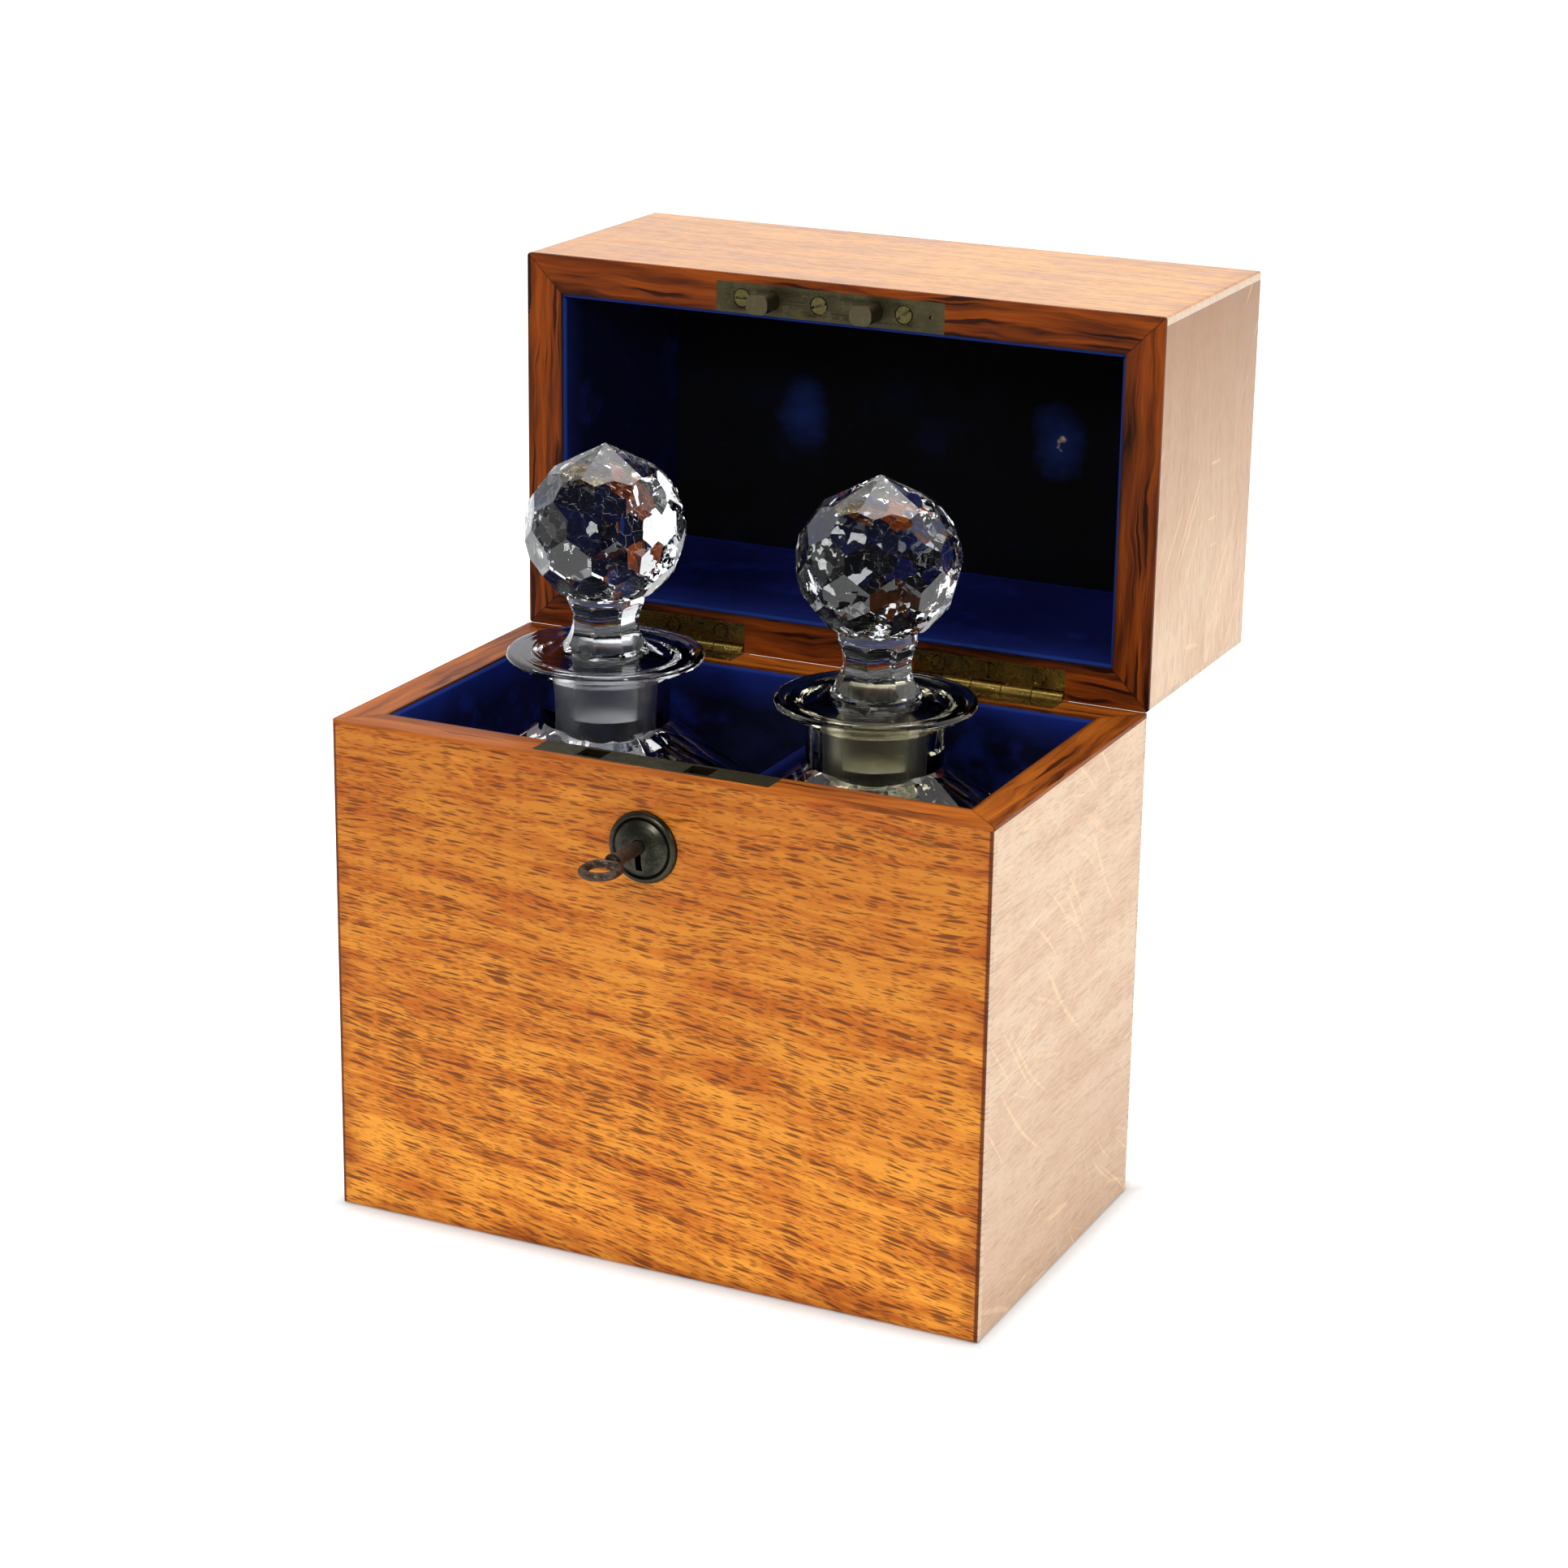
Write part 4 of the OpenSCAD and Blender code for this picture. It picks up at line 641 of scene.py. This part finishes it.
class DECANTERBOX_OT_stage(bpy.types.Operator):
    """Camera, pale floor, white room, softboxes and spark lamps"""
    bl_idname = "decanter_box.stage"
    bl_label = "Stage"

    def execute(self, context):
        settings = context.scene.decanter_box_stage
        self.stand_camera(context)
        self.light_room(context, settings)
        self.lay_paper(context, settings)
        return {"FINISHED"}

    def stand_camera(self, context):
        azimuth, elevation, roll = [math.radians(angle) for angle in CAMERA_ANGLES]
        target = Vector(CAMERA_TARGET) * MM
        back = Vector((math.sin(azimuth) * math.cos(elevation), -math.cos(azimuth) * math.cos(elevation),
                       math.sin(elevation)))
        lens = bpy.data.cameras.new("photo_camera")
        lens.sensor_width = 36.0
        lens.lens = FOCAL_PIXELS / PICTURE_PIXELS * lens.sensor_width
        lens.clip_end = 100
        camera = bpy.data.objects.new("photo_camera", lens)
        aim(camera, target + back * CAMERA_DISTANCE * MM, target, roll)
        context.scene.camera = camera

    def light_room(self, context, settings):
        world = bpy.data.worlds.new("white_room")
        context.scene.world = world
        world.use_nodes = True
        tree = world.node_tree
        tree.nodes.clear()
        # The room is white behind and beside the box and unlit around the camera.
        to_camera = (0.25, -0.95, 0.20)
        way = add(tree, "TexCoord", out="Generated")
        forward = add(tree, "VectorMath", (way, to_camera), out="Value", operation="DOT_PRODUCT")
        room = add(tree, "MapRange", (forward, 0.12, 0.32, 1.0, 0.03))
        seen, straight = seen_rays(tree)
        shown = add(tree, "Mix", {0: straight, 2: room, 3: 1.0}, data_type="FLOAT")
        level = add(tree, "Mix", {0: seen, 2: settings.ambient, 3: shown}, data_type="FLOAT")
        light = add(tree, "Background", {"Color": (1, 1, 1), "Strength": level})
        add(tree, "OutputWorld", {"Surface": light})

        softbox("overhead_softbox", (-0.15, 0.25, 1.35), (0, 0, 0.15), (1.1, 0.9), settings.overhead_power)
        softbox("side_softbox", (1.25, 0.10, 0.75), (0, 0, 0.12), (0.8, 0.8), settings.side_power)
        softbox("front_softbox", (0.15, -1.40, 0.95), (0, 0, 0.12), (0.3, 0.3), settings.front_power)
        for i, place in enumerate(SPARK_LAMPS):
            softbox("spark_lamp_%d" % i, place, (0, 0, 0.2), (0.10, 0.10), settings.spark_power)

    def lay_paper(self, context, settings):
        bm = bmesh.new()
        bmesh.ops.create_grid(bm, x_segments=8, y_segments=8, size=settings.floor_size / 2)
        mesh = bpy.data.meshes.new("paper_floor")
        bm.to_mesh(mesh)
        bm.free()
        floor = bpy.data.objects.new("paper_floor", mesh)
        context.scene.collection.objects.link(floor)
        # A hair under the box's flat underside.
        floor.location.z = -0.2 * MM
        # White paper: it is drawn bright enough to be white in the picture, save for a painted shadow: its
        # glow is turned down within 12 mm of the box. It lights the box as plain paper does.
        material, tree = new_material("white_paper")
        seen, straight = seen_rays(tree)
        paper = add(tree, "BsdfDiffuse", {"Color": tuple(settings.floor_colour)})
        # Seen, the paper is tinted a little blue against the orange light that the box throws on it.
        dim = add(tree, "BsdfDiffuse", {"Color": (0.72, 0.74, 0.75)})
        spot = add(tree, "VectorMath", (add(tree, "TexCoord", out="Object"),), operation="ABSOLUTE")
        spot = add(tree, "VectorMath", (spot, (HALF_W, HALF_D, 0)), operation="SUBTRACT")
        out_x, out_y = add(tree, "SeparateXYZ", (spot,)).node.outputs[:2]
        away = add(tree, "Math", (out_x, out_y), operation="MAXIMUM")
        # Painted shadow: the glow is turned down near the box's footprint.
        strength = add(tree, "MapRange", (away, 0.0, 12 * MM, 0.10, 0.72))
        glow_with_painted_shadow = add(tree, "Emission", {"Color": (1, 1, 1), "Strength": strength})
        white = add(tree, "AddShader", (dim, glow_with_painted_shadow))
        add(tree, "OutputMaterial", {"Surface": add(tree, "MixShader", (seen, paper, white))})
        mesh.materials.append(material)


class DECANTERBOX_OT_base_boards(bpy.types.Operator):
    """French-polished oak on the five boards of the base"""
    bl_idname = "decanter_box.base_boards"
    bl_label = "Base boards"

    def execute(self, context):
        settings = context.scene.decanter_box_oak
        pores, rays, coat = settings.pore_strength, settings.ray_strength, settings.coat
        front, side = (HALF_W, RIM_Z / 2), (HALF_D, RIM_Z / 2)
        # Angle, cell length and width, reach, share and strength of each family of rays.
        flakes = [(16, 34, 8, 0.3, 0.5, 0.25 * rays)]
        crossing = [(50, 120, 4, 0.24, 0.6, 0.8 * rays), (30, 90, 5, 0.2, 0.4, 0.6 * rays),
                    (-8, 90, 8, 0.15, 0.4, 0.7 * rays)]
        dress(["base_front"], french_polished_oak(
            "oak_base_front", X, Z, BASE_MID, front, GOLDEN, seed=1.0, pores=pores, slant=(9, 1), rays=flakes,
            seam=1.5, laps=SIDE_LAPS, shade=((0.16, 0.14), (-0.12, 0.48)), coat=coat))
        dress(["base_back"], french_polished_oak(
            "oak_base_back", X, Z, BASE_MID, front, GOLDEN, seed=14.0, pores=pores, slant=(-4, 2),
            rays=flakes, seam=1.0, laps=SIDE_LAPS, coat=coat))
        dress(["base_right_side"], french_polished_oak(
            "oak_base_right", Y, Z, BASE_MID, side, PALE_WITH_PAINTED_GLARE, seed=21.0, pores=0.3 * pores, rays=crossing,
            wear=0.1, shade=((0, 0), (0.4, -0.3)), fibre=0.22, gloss=0.5, coat=coat))
        dress(["base_left_side"], french_polished_oak(
            "oak_base_left", Y, Z, BASE_MID, side, TAN, seed=33.0, pores=0.5 * pores, slant=(2, 0),
            rays=crossing, coat=coat))
        dress(["base_bottom"], french_polished_oak(
            "oak_base_bottom", X, Y, (0, 0, 0), (HALF_W, HALF_D), TAN, seed=71.0, pores=pores, coat=0.0))
        return {"FINISHED"}


class DECANTERBOX_OT_lid_boards(bpy.types.Operator):
    """French-polished oak on the five boards of the lid"""
    bl_idname = "decanter_box.lid_boards"
    bl_label = "Lid boards"

    def execute(self, context):
        settings = context.scene.decanter_box_oak
        pores, rays, coat = settings.pore_strength, settings.ray_strength, settings.coat
        face, side = (HALF_W, HALF_LID), (HALF_D, HALF_LID)
        crossing = [(-40, 90, 4, 0.22, 0.5, 0.6 * rays), (84, 80, 9, 0.12, 0.3, 0.8 * rays)]
        # The front lies uppermost on the open lid, where thick polish mirrors the room and makes it pale.
        dress(["lid_front"], french_polished_oak(
            "oak_lid_front", X, Y, LID_MID, face, AMBER, seed=41.0, pores=0.5 * pores, slant=(0, 3),
            laps=(*SIDE_LAPS, TOP_LAP), wear=0.4, shade=((0.25, -0.1), (0.1, -0.1)), gloss=0.4,
            coat=8 * coat))
        dress(["lid_back"], french_polished_oak(
            "oak_lid_back", X, Y, LID_MID, face, GOLDEN, seed=47.0, pores=pores,
            laps=(*SIDE_LAPS, TOP_LAP), coat=coat))
        dress(["lid_right_side"], french_polished_oak(
            "oak_lid_right", Z, Y, LID_MID, side, PALE_WITH_PAINTED_GLARE, seed=52.0, pores=0.3 * pores, rays=crossing,
            laps=(FRONT_LAP, TOP_LAP), wear=0.1, shade=((-0.2, 1.0), (0, 0)), fibre=0.22, gloss=0.5,
            coat=coat))
        dress(["lid_left_side"], french_polished_oak(
            "oak_lid_left", Z, Y, LID_MID, side, TAN, seed=58.0, pores=0.5 * pores, slant=(0, 2),
            rays=crossing, laps=(FRONT_LAP, TOP_LAP), coat=coat))
        dress(["lid_top"], french_polished_oak(
            "oak_lid_top", X, Z, LID_MID, (HALF_W, HALF_D), GOLDEN, seed=63.0, pores=pores, slant=(4, -2),
            coat=coat))
        return {"FINISHED"}


class DECANTERBOX_OT_rim_bands(bpy.types.Operator):
    """Streaked oak veneer on the two rims"""
    bl_idname = "decanter_box.rim_bands"
    bl_label = "Rim bands"

    def execute(self, context):
        dress(["base_rim_band"], streaked_rim_veneer(
            "oak_rim_base", Y, (0, 0, RIM_Z), ("#b8641c", "#8e4814", "#54240a"), seed=4.0, coat=0.06))
        dress(["lid_rim_band"], streaked_rim_veneer(
            "oak_rim_lid", Z, (0, LID_RIM_Y, LID_MID.z), ("#8c400c", "#5e2808", "#1c0903"),
            seed=9.0, coat=0.0))
        return {"FINISHED"}


class DECANTERBOX_OT_base_velvet(bpy.types.Operator):
    """Velvet linings and partition of the base"""
    bl_idname = "decanter_box.base_velvet"
    bl_label = "Velvet in the base"

    def execute(self, context):
        settings = context.scene.decanter_box_velvet
        edge = (2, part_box("base_front_lining")[1].z)
        lining = silk_velvet("velvet_base", "#0a0d2c", "#14287c", 0.7 * settings.sheen, edge, fade=11)
        for side, out in (("front", Y), ("back", -Y), ("left", X), ("right", -X), ("floor", Z)):
            velvet_card("base_%s_lining" % side, out, "base", lining, settings.roll, settings.swell)
        # The partition's velvet is drawn darker than the walls', with less sheen: painted shade between the
        # decanters.
        divider = silk_velvet("velvet_partition", "#080a24", "#101e64", 0.5 * settings.sheen,
                              (2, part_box("partition")[1].z + 5 * MM), fade=10)
        padded_partition("partition", "base", divider, settings.roll)
        return {"FINISHED"}


class DECANTERBOX_OT_lid_velvet(bpy.types.Operator):
    """Velvet linings of the lid, with the marks that the stoppers left"""
    bl_idname = "decanter_box.lid_velvet"
    bl_label = "Velvet in the lid"

    def execute(self, context):
        settings = context.scene.decanter_box_velvet
        edge = (1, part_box("lid_front_lining")[0].y)
        # The lid's velvets are drawn darker than the base's, with less sheen, and darkest on its ceiling:
        # painted shade.
        lining = silk_velvet("velvet_lid", "#04050f", "#0c1a50", 0.5 * settings.sheen, edge, fade=12)
        for side, out in (("front", -Z), ("left", X), ("right", -X)):
            velvet_card("lid_%s_lining" % side, out, "lid", lining, settings.roll, settings.swell)
        lining = silk_velvet("velvet_lid_back", "#040612", "#10215f", 0.6 * settings.sheen, edge, fade=22)
        velvet_card("lid_back_lining", Z, "lid", lining, settings.roll, settings.swell)
        marks = [(middle_of("left_stopper").x, False), (middle_of("right_stopper").x, True)]
        ceiling = silk_velvet("velvet_lid_top", "#030408", "#04061a", 0.3 * settings.sheen, edge, fade=34,
                              marks=[(x, LID_MID.z, bare) for x, bare in marks])
        velvet_card("lid_top_lining", -Y, "lid", ceiling, settings.roll, settings.swell,
                    [(x, LID_MID.z, DENT_DEPTH, DENT_RADIUS) for x, _ in marks])
        return {"FINISHED"}


class DECANTERBOX_OT_hinges(bpy.types.Operator):
    """Dull brass on the hinges and their screws"""
    bl_idname = "decanter_box.hinges"
    bl_label = "Hinges"

    def execute(self, context):
        cover = context.scene.decanter_box_metal.brass_cover
        brass = tarnished_metal("brass_cast_hinge", "#92783a", "#2a2413", cover, roughness=0.24)
        dress([name for name in NODES if "hinge" in name], brass)
        return {"FINISHED"}


class DECANTERBOX_OT_lock(bpy.types.Operator):
    """Dull brass on the lock and the link plate, with black links and a steel spring"""
    bl_idname = "decanter_box.lock"
    bl_label = "Lock and links"

    def execute(self, context):
        cover = context.scene.decanter_box_metal.brass_cover
        dress(["lock_plate", "lock_case", "lock_cap", "lock_bolt", "link_plate"], tarnished_metal(
            "brass_rolled_plate", "#4c4631", "#24211a", cover, roughness=0.4))
        dress(["link_plate_screws", "lock_screws"], tarnished_metal(
            "brass_turned_screws", "#5e5636", "#2a2616", cover=0.5, roughness=0.35, blotch=2.0))
        dress(["links"], tarnished_metal(
            "bronze_links", "#5c543e", "#0f0e0b", cover=0.95, roughness=0.3, blotch=2.0))
        dress(["lock_drill_pin", "bolt_spring"], tarnished_metal(
            "steel_spring", "#8d8780", "#4a4038", cover=0.4, roughness=0.3))
        return {"FINISHED"}


class DECANTERBOX_OT_key(bpy.types.Operator):
    """Rusted steel key and blackened bronze keyhole boss"""
    bl_idname = "decanter_box.key"
    bl_label = "Key and boss"

    def execute(self, context):
        cover = context.scene.decanter_box_metal.steel_cover
        dress(["key"], tarnished_metal(
            "steel_rusted_key", "#5c5249", "#34271e", cover, roughness=0.45, blotch=2.5))
        dress(["keyhole_boss"], tarnished_metal(
            "bronze_blackened_boss", "#3c3a31", "#22221c", cover=0.5, roughness=0.3, blotch=7.0))
        return {"FINISHED"}


class DECANTERBOX_OT_glass(bpy.types.Operator):
    """Lead crystal of the decanters and their stoppers"""
    bl_idname = "decanter_box.glass"
    bl_label = "Decanters and stoppers"

    def execute(self, context):
        ground_roughness = context.scene.decanter_box_glass.ground_roughness
        clear, yellowed = "#fbfdff", "#ece6c2"
        for side, tint in (("left", clear), ("right", yellowed)):
            x = middle_of(side + "_decanter").x
            # A stopper is ground all over below its decanter's mouth, and a decanter in its bore only.
            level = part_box(side + "_decanter")[1].z - 0.2 * MM
            dress([side + "_decanter"], lead_crystal(
                "crystal_%s_decanter" % side, tint, ground_roughness, x, (BORE, level),
                ripple=0.03 * MM, tilt=0.0))
            dress([side + "_stopper"], lead_crystal(
                "crystal_%s_stopper" % side, clear, ground_roughness, x, (HALF_W, level),
                ripple=0.0, tilt=0.07))
        return {"FINISHED"}


GROUPS = {"stage": StageSettings, "oak": OakSettings, "velvet": VelvetSettings, "metal": MetalSettings,
          "glass": GlassSettings}
STEPS = (
    DECANTERBOX_OT_stage, DECANTERBOX_OT_base_boards, DECANTERBOX_OT_lid_boards, DECANTERBOX_OT_rim_bands,
    DECANTERBOX_OT_base_velvet, DECANTERBOX_OT_lid_velvet, DECANTERBOX_OT_hinges, DECANTERBOX_OT_lock,
    DECANTERBOX_OT_key, DECANTERBOX_OT_glass)


class DECANTERBOX_PT_sidebar(bpy.types.Panel):
    """Lists the settings and the steps"""
    bl_idname = "DECANTERBOX_PT_sidebar"
    bl_label = "Decanter Box"
    bl_space_type = "VIEW_3D"
    bl_region_type = "UI"
    bl_category = "Decanter Box"

    def draw(self, context):
        for group in GROUPS:
            settings = getattr(context.scene, "decanter_box_" + group)
            for name in settings.__annotations__:
                self.layout.prop(settings, name)
        for step in STEPS:
            self.layout.operator(step.bl_idname)


CLASSES = (*GROUPS.values(), *STEPS, DECANTERBOX_PT_sidebar)


def register():
    for item in CLASSES:
        bpy.utils.register_class(item)
    for group, settings in GROUPS.items():
        setattr(bpy.types.Scene, "decanter_box_" + group, bpy.props.PointerProperty(type=settings))


def unregister():
    for group in GROUPS:
        delattr(bpy.types.Scene, "decanter_box_" + group)
    for item in reversed(CLASSES):
        bpy.utils.unregister_class(item)


def main():
    register()
    bpy.context.scene.view_settings.view_transform = "Standard"
    for step in STEPS:
        getattr(bpy.ops.decanter_box, step.bl_idname.split(".")[1])()


if __name__ == "__main__":
    main()
